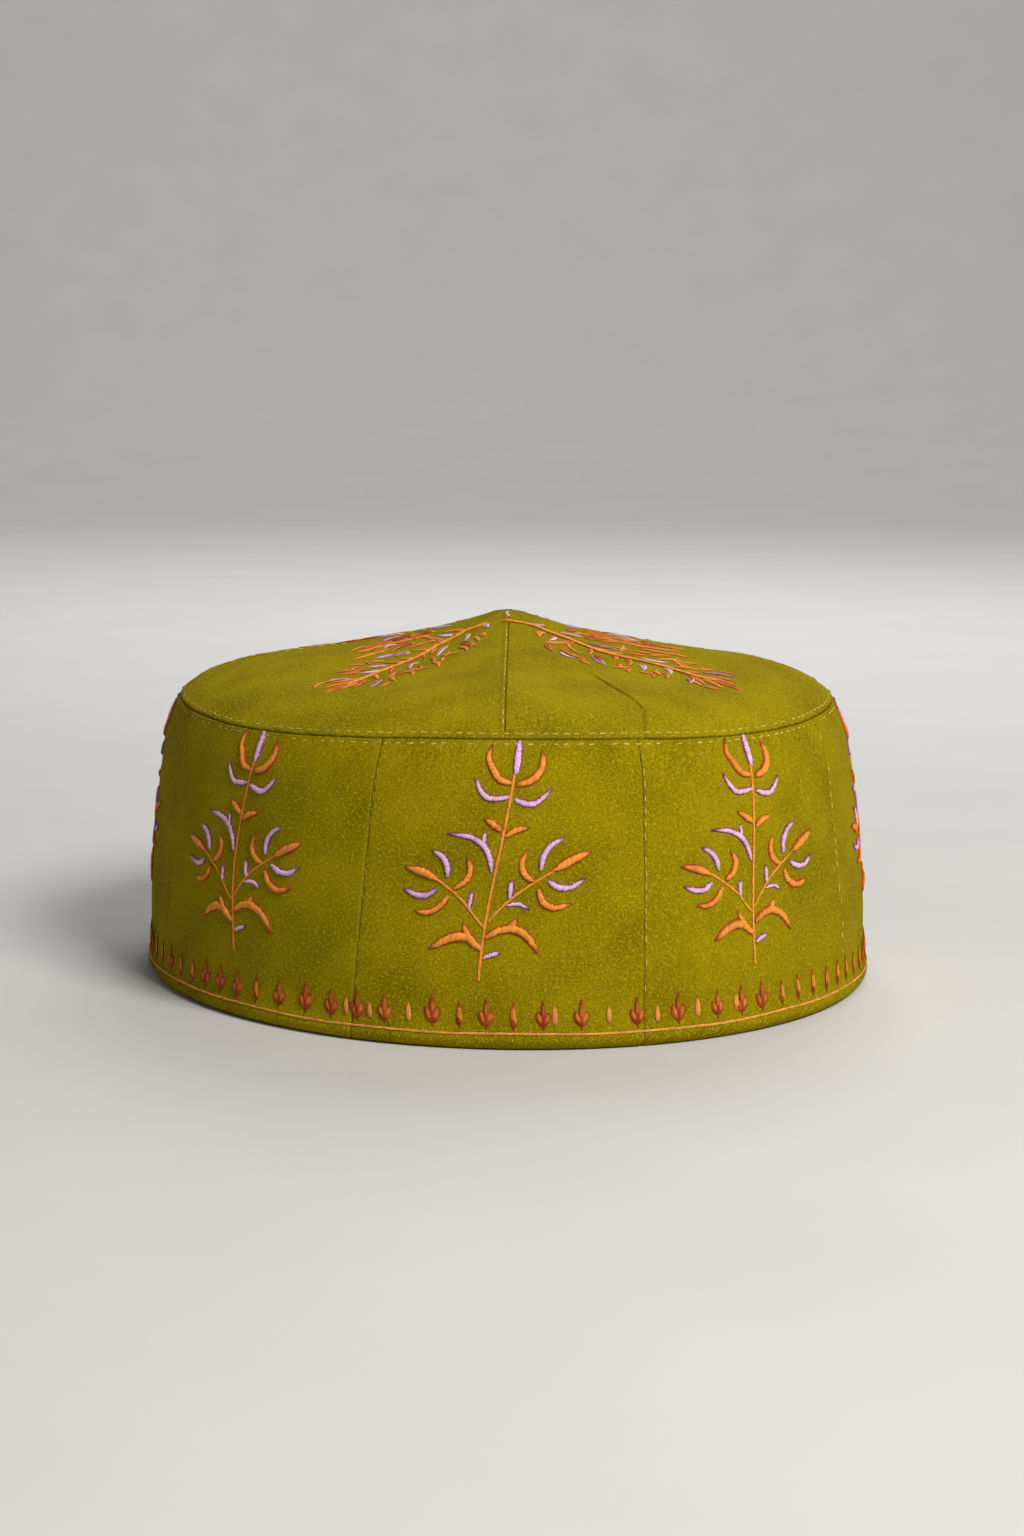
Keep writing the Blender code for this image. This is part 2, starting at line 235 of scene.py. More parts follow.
# Leaves of the crown's spray: distance out from the tip, and offset from the stem towards rising turns
CROWN_LEAVES = (
    {"thread": "lilac", "width": 1.3, "line": ((9.8, 0.3), (10.8, 1.6), (11.4, 3.5))},
    {"thread": "orange", "width": 1.5, "line": ((14.8, 6.1), (15.4, 7.2), (15.7, 8.6))},
    {"thread": "lilac", "width": 1.2, "line": ((15.7, 2.1), (17.6, 3.8), (19.8, 4.9))},
    {"thread": "orange", "width": 1.9, "line": ((20.6, 4.9), (21.8, 8.0), (22.8, 12.4))},
    {"thread": "lilac", "width": 1.6, "line": ((23.8, 2.4), (27.9, 3.9), (31.7, 5.5))},
    {"thread": "orange", "width": 1.0, "line": ((31.2, 6.0), (29.8, 8.6), (28.0, 10.8))},
    {"thread": "orange", "width": 0.9, "line": ((30.4, 0.2), (32.6, 1.4), (34.3, 3.1))},
    {"thread": "lilac", "width": 1.5, "line": ((37.3, 3.6), (40.0, 3.4), (43.1, 6.1))},
    {"thread": "orange", "width": 1.6, "line": ((48.8, 5.1), (44.3, 7.9), (41.0, 11.3))},
    {"thread": "orange", "width": 1.0, "line": ((33.0, 8.5), (34.5, 9.8), (35.9, 10.5))},
    {"thread": "orange", "width": 1.2, "line": ((50.5, 0.8), (52.4, 2.2), (53.2, 4.0))},
    {"thread": "lilac", "width": 1.6, "line": ((53.3, 4.5), (56.3, 6.6), (60.5, 7.4))},
    {"thread": "orange", "width": 1.0, "line": ((54.5, 8.8), (57.0, 9.6), (59.5, 9.4))},
    {"thread": "orange", "width": 1.8, "line": ((21.9, -0.6), (21.2, -5.0), (20.1, -9.8))},
    {"thread": "orange", "width": 1.7, "line": ((21.7, -9.5), (24.5, -12.4), (27.0, -13.7))},
    {"thread": "orange", "width": 2.0, "line": ((25.2, -8.0), (29.0, -10.0), (33.2, -10.2))},
    {"thread": "orange", "width": 1.0, "line": ((27.0, -0.6), (29.2, -2.4), (30.5, -5.0))},
    {"thread": "lilac", "width": 2.0, "line": ((31.6, -4.2), (35.0, -7.9), (38.9, -10.9))},
    {"thread": "orange", "width": 1.3, "line": ((37.0, -0.7), (39.4, -2.6), (41.2, -5.8))},
    {"thread": "orange", "width": 1.4, "line": ((42.8, -8.0), (42.4, -10.0), (41.0, -11.8))},
    {"thread": "lilac", "width": 1.4, "line": ((42.4, -3.3), (44.6, -5.0), (46.1, -7.3))},
    {"thread": "orange", "width": 1.4, "line": ((46.6, -9.4), (48.4, -9.6), (50.0, -9.0))},
    {"thread": "lilac", "width": 1.3, "line": ((47.0, -0.9), (49.6, -2.2), (51.5, -4.6))},
    {"thread": "orange", "width": 1.4, "line": ((50.1, -5.5), (52.6, -7.2), (54.1, -9.7))},
    {"thread": "lilac", "width": 1.5, "line": ((55.9, -3.3), (58.0, -5.4), (59.4, -8.2))},
    {"thread": "orange", "width": 1.5, "line": ((53.8, -0.8), (57.5, -2.6), (61.6, -5.6))},
    {"thread": "orange", "width": 1.5, "line": ((57.6, -0.6), (61.5, -2.2), (65.6, -3.0))},
    {"thread": "orange", "width": 1.4, "line": ((55.2, 0.8), (59.0, 2.6), (63.0, 4.2))},
    {"thread": "orange", "width": 2.3, "line": ((60.0, 0.0), (64.0, 0.3), (68.4, 0.2))},
    {"thread": "orange", "width": 1.2, "line": ((61.6, -7.4), (64.4, -6.8), (66.6, -5.4))},
    {"thread": "orange", "width": 1.1, "line": ((17.0, 5.5), (18.0, 7.8), (19.6, 9.8))},
    {"thread": "orange", "width": 1.4, "line": ((24.0, 7.0), (24.8, 9.8), (26.6, 12.2))},
    {"thread": "orange", "width": 1.1, "line": ((26.3, 0.9), (28.6, 1.2), (30.6, 2.6))},
    {"thread": "orange", "width": 1.3, "line": ((33.2, 4.4), (34.4, 6.6), (36.4, 8.2))},
    {"thread": "orange", "width": 1.4, "line": ((36.8, 8.2), (37.6, 10.8), (39.6, 12.8))},
    {"thread": "orange", "width": 1.1, "line": ((43.6, 0.9), (45.8, 1.5), (47.6, 3.2))},
    {"thread": "orange", "width": 1.2, "line": ((45.4, 7.6), (46.2, 9.6), (48.2, 11.0))},
    {"thread": "orange", "width": 1.3, "line": ((50.8, 6.4), (52.4, 8.0), (53.0, 10.2))},
    {"thread": "orange", "width": 1.4, "line": ((14.2, -1.3), (14.9, -3.8), (16.6, -6.2))},
    {"thread": "lilac", "width": 1.0, "line": ((17.4, -1.8), (18.6, -3.6), (19.0, -5.8))},
    {"thread": "orange", "width": 1.2, "line": ((33.6, -0.6), (35.4, -1.9), (36.4, -4.0))},
    {"thread": "orange", "width": 1.6, "line": ((33.4, -11.8), (35.6, -13.9), (38.0, -14.6))},
    {"thread": "orange", "width": 1.3, "line": ((44.4, -9.6), (45.0, -11.6), (46.8, -13.2))},
    {"thread": "orange", "width": 1.1, "line": ((50.6, -8.4), (51.2, -10.4), (52.8, -12.2))},
    {"thread": "orange", "width": 1.2, "line": ((20.4, -2.2), (22.6, -3.6), (25.2, -5.2))},
    {"thread": "orange", "width": 1.0, "line": ((24.2, -4.4), (27.2, -6.0), (29.4, -6.6))},
    {"thread": "lilac", "width": 1.0, "line": ((28.2, -12.0), (30.4, -13.6), (33.0, -13.2))},
    {"thread": "orange", "width": 1.1, "line": ((39.6, -6.4), (41.2, -9.0), (44.0, -10.6))},
    {"thread": "orange", "width": 1.0, "line": ((27.4, 6.4), (29.6, 7.6), (32.4, 8.6))},
    {"thread": "orange", "width": 1.0, "line": ((20.6, 7.6), (22.2, 10.2), (24.6, 11.2))},
    {"thread": "orange", "width": 1.2, "line": ((39.8, 6.2), (41.8, 8.6), (44.8, 9.4))},
    {"thread": "orange", "width": 1.0, "line": ((46.8, 3.6), (49.0, 5.2), (51.8, 5.6))},
    {"thread": "orange", "width": 1.1, "line": ((47.4, -4.8), (49.6, -7.0), (52.2, -7.8))},
    {"thread": "orange", "width": 1.2, "line": ((57.6, 1.6), (60.6, 1.2), (64.4, 2.2))},
    {"thread": "orange", "width": 1.2, "line": ((56.4, -5.0), (59.8, -6.4), (63.6, -8.0))},
)

# Leaves on one side of the crown's spray alone: distance out and offset away from the stem
CROWN_SIDE_LEAVES = (
    {"thread": "lilac", "width": 1.2, "line": ((12.0, 9.0), (13.0, 10.6), (14.6, 11.6))},
    {"thread": "orange", "width": 2.1, "line": ((16.0, 9.6), (19.6, 12.4), (23.6, 13.8))},
    {"thread": "orange", "width": 1.5, "line": ((18.6, 8.8), (22.6, 10.6), (27.2, 12.6))},
    {"thread": "orange", "width": 2.3, "line": ((20.6, 12.6), (24.6, 15.8), (29.0, 17.0))},
    {"thread": "lilac", "width": 1.4, "line": ((20.8, 15.2), (24.0, 17.8), (27.6, 18.6))},
    {"thread": "orange", "width": 1.6, "line": ((24.4, 12.2), (28.4, 13.8), (32.6, 16.0))},
    {"thread": "orange", "width": 2.2, "line": ((25.6, 15.8), (29.6, 18.6), (34.0, 19.6))},
    {"thread": "orange", "width": 1.4, "line": ((31.0, 12.8), (34.2, 13.2), (37.6, 15.4))},
    {"thread": "orange", "width": 1.6, "line": ((29.4, 15.6), (33.4, 16.6), (37.4, 19.0))},
    {"thread": "orange", "width": 1.8, "line": ((30.8, 18.8), (33.8, 20.8), (37.2, 21.2))},
    {"thread": "orange", "width": 1.3, "line": ((35.8, 13.6), (38.8, 14.8), (42.2, 15.4))},
)

# The crown's stems, from near the tip outwards: distance out along the gore's middle and offset from it.
# side: the side that has the leaves above, 1 towards rising turns and -1 away from them
CROWN_SPRAYS = (
    {"gore": 1, "side": 1,
     "stem": ((5.3, -7.4), (11.0, -1.6), (19.4, 1.7), (29.8, 2.7), (45.1, 8.2), (60.5, 11.6))},
    {"gore": 2, "side": -1,
     "stem": ((8.0, -1.5), (14.0, -0.9), (24.0, 0.3), (35.0, 2.9), (46.0, 5.4), (60.5, 8.4))},
    {"gore": 3, "side": 1,
     "stem": ((7.0, -4.2), (13.0, -1.0), (22.0, 1.0), (34.0, 3.4), (46.0, 7.0), (60.5, 10.2))},
    {"gore": 4, "side": -1,
     "stem": ((9.4, 1.9), (14.7, -0.8), (24.7, -0.2), (35.0, 2.5), (44.4, 4.3), (60.5, 7.2))},
)

# The tacks over the front seam just under the tip: distance out and offset of where each starts
TIP_TACKS = ((2.2, -0.10), (3.3, -0.55), (3.9, 0.10))
TACK = {"out": 1.2, "aside": -0.15, "width": 0.42, "rise": 0.10, "narrow": 0.2}

# The buds of the hem's border that the front shows, as turns. The rest follow at an even spacing
TREFOIL_TURNS = (
    -53.2, -49.4, -45.4, -36.8, -32.0, -27.6, -23.4, -19.2, -12.2, -4.6,
    3.4, 8.8, 17.0, 23.4, 30.0, 34.4, 38.4,
)
BUD_TURNS = (-41.3, -8.4, -0.8, 42.8, 46.6, 50.4, 54.4, 58.2, 61.8)
SEED_TURNS = (-25.2, -21.5, -15.7, 5.0, 12.8, 20.1, 26.6, 33.4)
BORDER_SPACING = 4.1
BORDER_GAP = (65.9, 302.9)
BORDER_ORDER = ("bud", "bud", "trefoil")
BUD_SIZES = (0.92, 1.06)
BUD_WANDER = 0.12

# The strokes of each bud: foot, tip, width and bow to the left in millimetres, how much it narrows to its
# tip, its height over the cloth, and how dark it is. A petal is a dark body under lengthwise strands. The
# strands on a bud's left are darker than those on its right, a painted shade, as if lit from the right
TREFOIL_STROKES = (
    {"foot": (0.0, -0.8), "tip": (0.0, 1.6), "width": 0.5,
     "bow": 0.0, "narrow": 0.0, "rise": 0.10, "rim": 1.1},
    {"foot": (-0.05, 0.1), "tip": (-1.5, 3.8), "width": 1.25,
     "bow": 0.3, "narrow": -0.2, "rise": 0.12, "rim": 0.95},
    {"foot": (0.05, 0.1), "tip": (1.5, 3.8), "width": 1.25,
     "bow": -0.3, "narrow": -0.2, "rise": 0.12, "rim": 0.95},
    {"foot": (0.0, 0.1), "tip": (0.0, 6.7), "width": 1.50,
     "bow": 0.0, "narrow": 0.4, "rise": 0.20, "rim": 1.0},
    {"foot": (-0.35, 0.7), "tip": (-1.65, 3.5), "width": 0.50,
     "bow": 0.3, "narrow": -0.1, "rise": 0.26, "rim": 0.70},
    {"foot": (-0.25, 0.8), "tip": (-1.35, 3.6), "width": 0.56,
     "bow": 0.2, "narrow": -0.1, "rise": 0.30, "rim": 0.42},
    {"foot": (-0.15, 0.9), "tip": (-1.05, 3.4), "width": 0.40,
     "bow": 0.0, "narrow": -0.1, "rise": 0.28, "rim": 0.55},
    {"foot": (0.35, 0.7), "tip": (1.65, 3.5), "width": 0.50,
     "bow": -0.3, "narrow": -0.1, "rise": 0.26, "rim": 0.70},
    {"foot": (0.25, 0.8), "tip": (1.35, 3.6), "width": 0.56,
     "bow": -0.2, "narrow": -0.1, "rise": 0.30, "rim": 0.42},
    {"foot": (0.15, 0.9), "tip": (1.05, 3.4), "width": 0.40,
     "bow": 0.0, "narrow": -0.1, "rise": 0.28, "rim": 0.55},
    {"foot": (-0.1, 0.9), "tip": (-0.15, 5.9), "width": 0.44,
     "bow": 0.25, "narrow": 0.2, "rise": 0.34, "rim": 0.90},
    {"foot": (0.1, 0.9), "tip": (0.15, 5.9), "width": 0.44,
     "bow": -0.25, "narrow": 0.2, "rise": 0.34, "rim": 0.76},
    {"foot": (0.0, 1.5), "tip": (0.0, 5.9), "width": 0.42,
     "bow": 0.03, "narrow": 0.2, "rise": 0.40, "rim": 0.64},
)
BUD_STROKES = (
    {"foot": (0.0, -0.6), "tip": (0.0, 1.2), "width": 0.5,
     "bow": 0.0, "narrow": 0.0, "rise": 0.10, "rim": 1.1},
    {"foot": (0.0, 0.0), "tip": (0.0, 6.2), "width": 1.95,
     "bow": 0.0, "narrow": 0.75, "rise": 0.16, "rim": 1.0},
    {"foot": (-0.15, 0.5), "tip": (-0.02, 5.4), "width": 0.70,
     "bow": 0.30, "narrow": 0.5, "rise": 0.27, "rim": 0.48},
    {"foot": (0.25, 0.5), "tip": (0.03, 5.0), "width": 0.76,
     "bow": -0.26, "narrow": 0.5, "rise": 0.32, "rim": 0.12},
    {"foot": (0.05, 0.6), "tip": (0.0, 5.2), "width": 0.66,
     "bow": 0.02, "narrow": 0.5, "rise": 0.36, "rim": 0.28},
)
SEED_STROKES = (
    {"foot": (0.0, 0.4), "tip": (0.0, 4.7), "width": 1.45,
     "bow": 0.0, "narrow": 0.35, "rise": 0.15, "rim": 0.35},
    {"foot": (-0.1, 0.7), "tip": (-0.08, 4.5), "width": 0.55,
     "bow": 0.14, "narrow": 0.3, "rise": 0.28, "rim": 0.10},
    {"foot": (0.1, 0.7), "tip": (0.08, 4.5), "width": 0.55,
     "bow": -0.14, "narrow": 0.3, "rise": 0.30, "rim": -0.30},
)
BORDER_KINDS = {"trefoil": TREFOIL_STROKES, "bud": BUD_STROKES, "seed": SEED_STROKES}

# A leaf's width along it, as shares of its length and of its widest part
LEAF_SHAPES = {
    "leaf": {"along": (0.0, 0.12, 0.38, 0.75, 0.93, 1.0), "width": (0.58, 0.84, 1.00, 0.78, 0.40, 0.12)},
    "bud": {"along": (0.0, 0.15, 0.40, 0.72, 0.92, 1.0), "width": (0.22, 0.62, 1.00, 0.76, 0.36, 0.12)},
    "bar": {"along": (0.0, 0.15, 0.50, 0.85, 1.0), "width": (0.66, 0.92, 1.00, 0.88, 0.55)},
}
CROWN_FULLNESS = 1.3
BAND_FULLNESS = {"orange": 1.07, "lilac": 1.0}
BRANCH_SHARE = 0.82

# A satin leaf in millimetres: how far its stitches' ends wander, its least height, and how far its body shows
# beyond them. It darkens from a share of its length to its tip, and up to another share from its foot
LEAF_RAGGED = 0.07
LEAF_LEAST_RISE = 0.10
LEAF_BODY_MARGIN = 0.16
LEAF_BODY_SINK = 0.06
LEAF_TIP_FROM = 0.78
LEAF_FOOT_TO = 0.14

# A strand of stem stitch: the distance between its stitches, their length, their lean and their wander
STEM_STEP = 0.95
STEM_REACH = 2.3
STEM_LEAN = 0.30
STEM_WANDER = 0.03

# The couched line over the hem, the turn by which its ends overlap, and how it wanders
COUCHED_LINE = {"width": 0.43, "reach": 2.0, "rim": 0.05}
LINE_OVERLAP = 1.0
LINE_WANDER = ({"waves": 7, "height": 0.12}, {"waves": 17, "height": 0.08})

# The running stitches by their seams, in millimetres. skip: share of them that doesn't show. sink: how deep
# one may lie in the cloth
RUNNING_STITCHES = {
    "crown": {"pitch": 2.75, "length": 1.85, "width": 0.30, "skip": 0.05, "sink": 0.12},
    "band": {"pitch": 2.75, "length": 1.60, "width": 0.30, "skip": 0.12, "sink": 0.20},
    "front_panel": {"pitch": 2.9, "length": 1.60, "width": 0.26, "skip": 0.15, "sink": 0.12},
    "panel": {"pitch": 2.9, "length": 1.60, "width": 0.26, "skip": 0.45, "sink": 0.12},
    "gore": {"pitch": 2.9, "length": 1.6, "width": 0.26, "skip": 0.30, "sink": 0.15},
}
BAND_TOPSTITCH_SHARE = 0.85
PANEL_STITCHES_FROM = 12.5
GORE_STITCHES_FROM = 3.0
STITCHES_SHORT_OF_RIM = 2.5
PANEL_STITCHES_OFF_SEAM = 0.00035
GORE_STITCHES_OFF_SEAM = 0.00040

# Where the random draws of each kind of needlework start, so that one kind can change without the others
SEEDS = {
    "band_sprays": 100,
    "crown_sprays": 200,
    "border": 300,
    "line": 302,
    "topstitches": 400,
    "panel_seams": 420,
    "gore_seams": 440,
    "tacks": 460,
}

# A narrow leaf of the crown in long stitches: each one's place across the leaf at its foot and its tip, and
# its width, as shares of the leaf's width, its height over the cloth and how dark it is
LONG_STITCHES = (
    {"foot": 0.05, "tip": 0.00, "width": 1.00, "rise": 0.07, "rim": 0.85},
    {"foot": -0.22, "tip": -0.06, "width": 0.50, "rise": 0.19, "rim": 0.45},
    {"foot": 0.20, "tip": 0.08, "width": 0.48, "rise": 0.22, "rim": 0.05},
)

# The rings of one stitch between its two points: place along it, fullness and lift as shares
STITCH_RINGS = (
    {"at": -0.82, "fullness": 0.80, "lift": 0.62},
    {"at": -0.36, "fullness": 1.00, "lift": 0.96},
    {"at": 0.36, "fullness": 1.00, "lift": 0.96},
    {"at": 0.82, "fullness": 0.80, "lift": 0.62},
)
PETAL_RINGS = (
    {"at": -0.94, "fullness": 0.42, "lift": 0.40},
    {"at": -0.72, "fullness": 0.78, "lift": 0.72},
    {"at": -0.40, "fullness": 0.97, "lift": 0.94},
    {"at": 0.00, "fullness": 1.00, "lift": 1.00},
    {"at": 0.42, "fullness": 0.92, "lift": 0.90},
    {"at": 0.76, "fullness": 0.66, "lift": 0.66},
    {"at": 0.94, "fullness": 0.36, "lift": 0.40},
)
STITCH_SIDES = 5
PETAL_SIDES = 8
STITCH_FLATNESS = 0.48
PETAL_FLATNESS = 0.38
STITCH_SINK = 0.12

# Steps between the first points of a cloth's edge, in millimetres, so that its roll into a seam is smooth
EDGE_STEPS = (0.15, 0.2, 0.25, 0.3, 0.4, 0.55, 0.75, 1.0)
HEM_STEPS = (0.5,) * 10
CLOTH_STEP = 1.45 * MM
EDGE_CLEARANCE = 0.00002
TIP_RADIUS = 0.0002
OUTLINE_STEPS = 700
NORMAL_BLUR = 0.0015
SHARP_EDGE = 50.0

# Each piece of cloth is cut from its own layer of the cotton's pattern, which isn't drawn in to the tip
LAYER_STEP = 7.0
LAYERS = 13
GRAIN_LEAST_RADIUS = 0.3

# The cotton's pattern over places in millimetres. scale: features in a millimetre. Ridges are thin across
# their angle and long along it
WEAVE_PITCH = 0.56
COTTON_WARP = (2.4, 2.4, 0.0)
COTTON_NOISES = {
    "drift": {"scale": 0.16, "detail": 1.0},
    "sway": {"scale": 0.12, "detail": 1.0},
    "scatter": {"scale": 1.5, "detail": 0.0},
    "grit": {"scale": 3.6, "detail": 1.0, "roughness": 0.8},
    "patches": {"scale": 0.06, "detail": 3.0, "roughness": 0.4},
}
COTTON_RIDGES = {
    "falling": {"angle": 47.0, "thin": 0.26, "long": 0.70, "sharp": 0.10},
    "rising": {"angle": -40.0, "thin": 0.25, "long": 0.62, "sharp": 0.10},
    "folds": {"angle": 42.0, "thin": 1.05, "long": 5.0, "sharp": 0.17},
}

# How much the nap, the grit, the weave and the strained folds add to the cotton's tone and to its height. The
# nap's tone is a painted highlight on its crests, and the low weave and grit are painted shade
COTTON_TONE = {"nap": 1.2, "grit": 2.4, "weave": 0.13}
COTTON_HEIGHT = {"nap": 0.80, "grit": 1.3, "weave": 0.17, "folds": 2.0}
COTTON_ROUGHNESS = 0.92
COTTON_SPECULAR = 0.04
COTTON_DEPTH = 0.00040
# Each side: the strength of the painted highlight on its nap, and of its relief
RIGHT_SIDE = {"nap_highlight": 0.85, "relief": 0.62}
WRONG_SIDE = {"nap_highlight": 0.5, "relief": 0.35}
# Painted shade in the seams and the crease: how far the cloth goes to it, and its colour as a share of the
# deep tone
SEAM_SHADOW = 0.72
SEAM_SHADOW_TONE = 0.16

# Thread over places in metres: its fine plies, the stains that break its rim, and how both change its tone
THREAD_NOISES = {
    "plies": {"scale": 5200.0, "detail": 2.0, "roughness": 0.6},
    "stain": {"scale": 420.0, "detail": 2.0},
}
RIM_STAIN = 0.9
# The plies make the thread darker where they are low, a painted shade
PLY_TONE = 0.60
PLY_TONE_FROM = 0.68
TINT_TONE = 0.15
SATIN_ROUGHNESS = 0.66
SEWING_ROUGHNESS = 0.65
THREAD_SPECULAR = 0.08
THREAD_RELIEF = 0.60
THREAD_DEPTH = 0.00010

# The floor's flat rings and its sweep up into a wall
FLOOR_RINGS = (0.05, 0.3, 0.8)
FLOOR_RADIUS = 1.9
SWEEP = 1.5
SWEEP_RINGS = 12
FLOOR_SIDES = 96
FLOOR_MOTTLE = 0.03
ROOM_COLOUR = (0.80, 0.80, 0.82, 1.0)
ROOM_STRENGTH = 0.17
CAP_MIDDLE = (0.0, 0.0, 0.045)
WHITE = (1.0, 1.0, 1.0)
LIGHTS = (
    {"name": "key_light", "place": (0.55, -0.73, 0.86), "aim": CAP_MIDDLE,
     "size": 0.45, "power": 14.7, "colour": (1.0, 0.98, 0.94)},
    {"name": "fill_light", "place": (-0.95, -0.45, 0.50), "aim": CAP_MIDDLE,
     "size": 0.9, "power": 0.25, "colour": (0.94, 0.97, 1.0)},
    {"name": "back_light", "place": (0.20, 0.80, 0.95), "aim": CAP_MIDDLE,
     "size": 0.7, "power": 5.6, "colour": WHITE},
    {"name": "backdrop_light", "place": (0.0, 0.9, 1.7), "aim": (0.0, 3.2, 0.5),
     "size": 1.2, "power": 26.0, "colour": WHITE},
)


class CapSizes(bpy.types.PropertyGroup):
    """The cap's shape."""

    hem_radius: bpy.props.FloatProperty(
        name="Hem radius", description="Mean radius of the hem", default=0.499 * CAP_WIDTH, unit="LENGTH"
    )
    seam_radius: bpy.props.FloatProperty(
        name="Seam radius",
        description="Mean radius of the crown's seam",
        default=0.4486 * CAP_WIDTH,
        unit="LENGTH",
    )
    band_height: bpy.props.FloatProperty(
        name="Band height",
        description="Height of the crown's seam",
        default=0.7576 * CAP_HEIGHT,
        unit="LENGTH",
    )
    cap_height: bpy.props.FloatProperty(
        name="Cap height", description="Height of the tip", default=CAP_HEIGHT, unit="LENGTH"
    )
    cloth: bpy.props.FloatProperty(
        name="Cloth", description="Thickness of the wall and the crown", default=0.0022, unit="LENGTH"
    )
    hem_cloth: bpy.props.FloatProperty(
        name="Hem cloth", description="Thickness where the hem is turned up", default=0.0032, unit="LENGTH"
    )
    hem_roll: bpy.props.FloatProperty(
        name="Hem roll",
        description="Height of the rolled hem under the couched line",
        default=0.0039,
        unit="LENGTH",
    )
    hem_top: bpy.props.FloatProperty(
        name="Hem top", description="Height of the turned-up hem inside", default=0.0120, unit="LENGTH"
    )
    seam_wave: bpy.props.FloatProperty(
        name="Seam wave", description="Rise and fall of the crown's seam", default=0.00085, unit="LENGTH"
    )
    gore_sag: bpy.props.FloatProperty(
        name="Gore sag", description="Sag of the crown between its seams", default=0.0012, unit="LENGTH"
    )
    swell: bpy.props.FloatProperty(
        name="Swell", description="Height of the cloth's soft swells", default=0.00042, unit="LENGTH"
    )
    crown_valley: bpy.props.FloatProperty(
        name="Crown valley", description="Depth of the seam round the crown", default=0.00042, unit="LENGTH"
    )
    crown_lip: bpy.props.FloatProperty(
        name="Crown lip",
        description="Swelling of the crown's edge over its seam",
        default=0.00020,
        unit="LENGTH",
    )
    panel_valley: bpy.props.FloatProperty(
        name="Panel valley",
        description="Depth of the seams between the panels",
        default=0.00022,
        unit="LENGTH",
    )
    gore_valley: bpy.props.FloatProperty(
        name="Gore valley", description="Depth of the seams between the gores", default=0.00026, unit="LENGTH"
    )
    pucker: bpy.props.FloatProperty(
        name="Pucker", description="Height of the puckers between topstitches", default=0.00010, unit="LENGTH"
    )
    crease: bpy.props.FloatProperty(
        name="Crease", description="Height of the crease in the front gore", default=0.00030, unit="LENGTH"
    )


class NeedleSizes(bpy.types.PropertyGroup):
    """The needlework."""

    thread: bpy.props.FloatProperty(
        name="Thread", description="Width of one satin stitch, in millimetres", default=0.50, min=0.1
    )
    spacing: bpy.props.FloatProperty(
        name="Spacing", description="Distance between satin stitches, in millimetres", default=0.33, min=0.1
    )
    slant: bpy.props.FloatProperty(
        name="Slant",
        description="Lean of the satin stitches across a leaf",
        default=math.radians(24),
        subtype="ANGLE",
    )
    padding: bpy.props.FloatProperty(
        name="Padding", description="Height of a leaf as a share of half its width", default=0.55, min=0.0
    )
    stem: bpy.props.FloatProperty(
        name="Stem", description="Width of a stem's strand, in millimetres", default=0.50, min=0.1
    )
    crown_stem: bpy.props.FloatProperty(
        name="Crown stem", description="Width of a crown stem's strand, in millimetres", default=1.05, min=0.1
    )
    line_height: bpy.props.FloatProperty(
        name="Line height",
        description="Height of the couched line over the hem",
        default=0.0039,
        unit="LENGTH",
    )
    bud_height: bpy.props.FloatProperty(
        name="Bud height",
        description="Height of the feet of the border's buds",
        default=0.0055,
        unit="LENGTH",
    )
    topstitch: bpy.props.FloatProperty(
        name="Topstitch",
        description="Distance of a row of topstitches from the seam",
        default=0.0015,
        unit="LENGTH",
    )


class CapColours(bpy.types.PropertyGroup):
    """The cloth's and the threads' colours."""

    lime: bpy.props.FloatVectorProperty(
        name="Lime", description="Main colour of the cloth", default=(0.330, 0.246, 0.0018), subtype="COLOR"
    )
    # Also the painted shade in the cloth's hollows, and the base of the shade painted into its seams
    olive: bpy.props.FloatVectorProperty(
        name="Olive",
        description="The cloth's darker patches",
        default=(0.215, 0.163, 0.0012),
        subtype="COLOR",
    )
    # The painted highlight on the crests of the cloth's nap
    nap_highlight_yellow: bpy.props.FloatVectorProperty(
        name="Yellow", description="The cloth's raised nap", default=(0.560, 0.440, 0.0060), subtype="COLOR"
    )
    orange: bpy.props.FloatVectorProperty(
        name="Orange", description="Orange thread", default=(0.86, 0.300, 0.046), subtype="COLOR"
    )
    # Leaf rims: partly a darker outline thread, partly shade painted round the leaves and at the stitches'
    # ends
    rust: bpy.props.FloatVectorProperty(
        name="Rust", description="Rims of the orange leaves", default=(0.30, 0.045, 0.010), subtype="COLOR"
    )
    lilac: bpy.props.FloatVectorProperty(
        name="Lilac", description="Lilac thread", default=(0.79, 0.47, 0.72), subtype="COLOR"
    )
    purple: bpy.props.FloatVectorProperty(
        name="Purple", description="Rims of the lilac leaves", default=(0.17, 0.024, 0.080), subtype="COLOR"
    )
    pale_lilac: bpy.props.FloatVectorProperty(
        name="Pale lilac",
        description="Lilac thread of the crown",
        default=(0.76, 0.60, 0.78),
        subtype="COLOR",
    )
    line: bpy.props.FloatVectorProperty(
        name="Hem line",
        description="Thread of the line over the hem",
        default=(0.80, 0.345, 0.075),
        subtype="COLOR",
    )
    pale: bpy.props.FloatVectorProperty(
        name="Pale", description="Topstitching thread", default=(0.58, 0.50, 0.09), subtype="COLOR"
    )


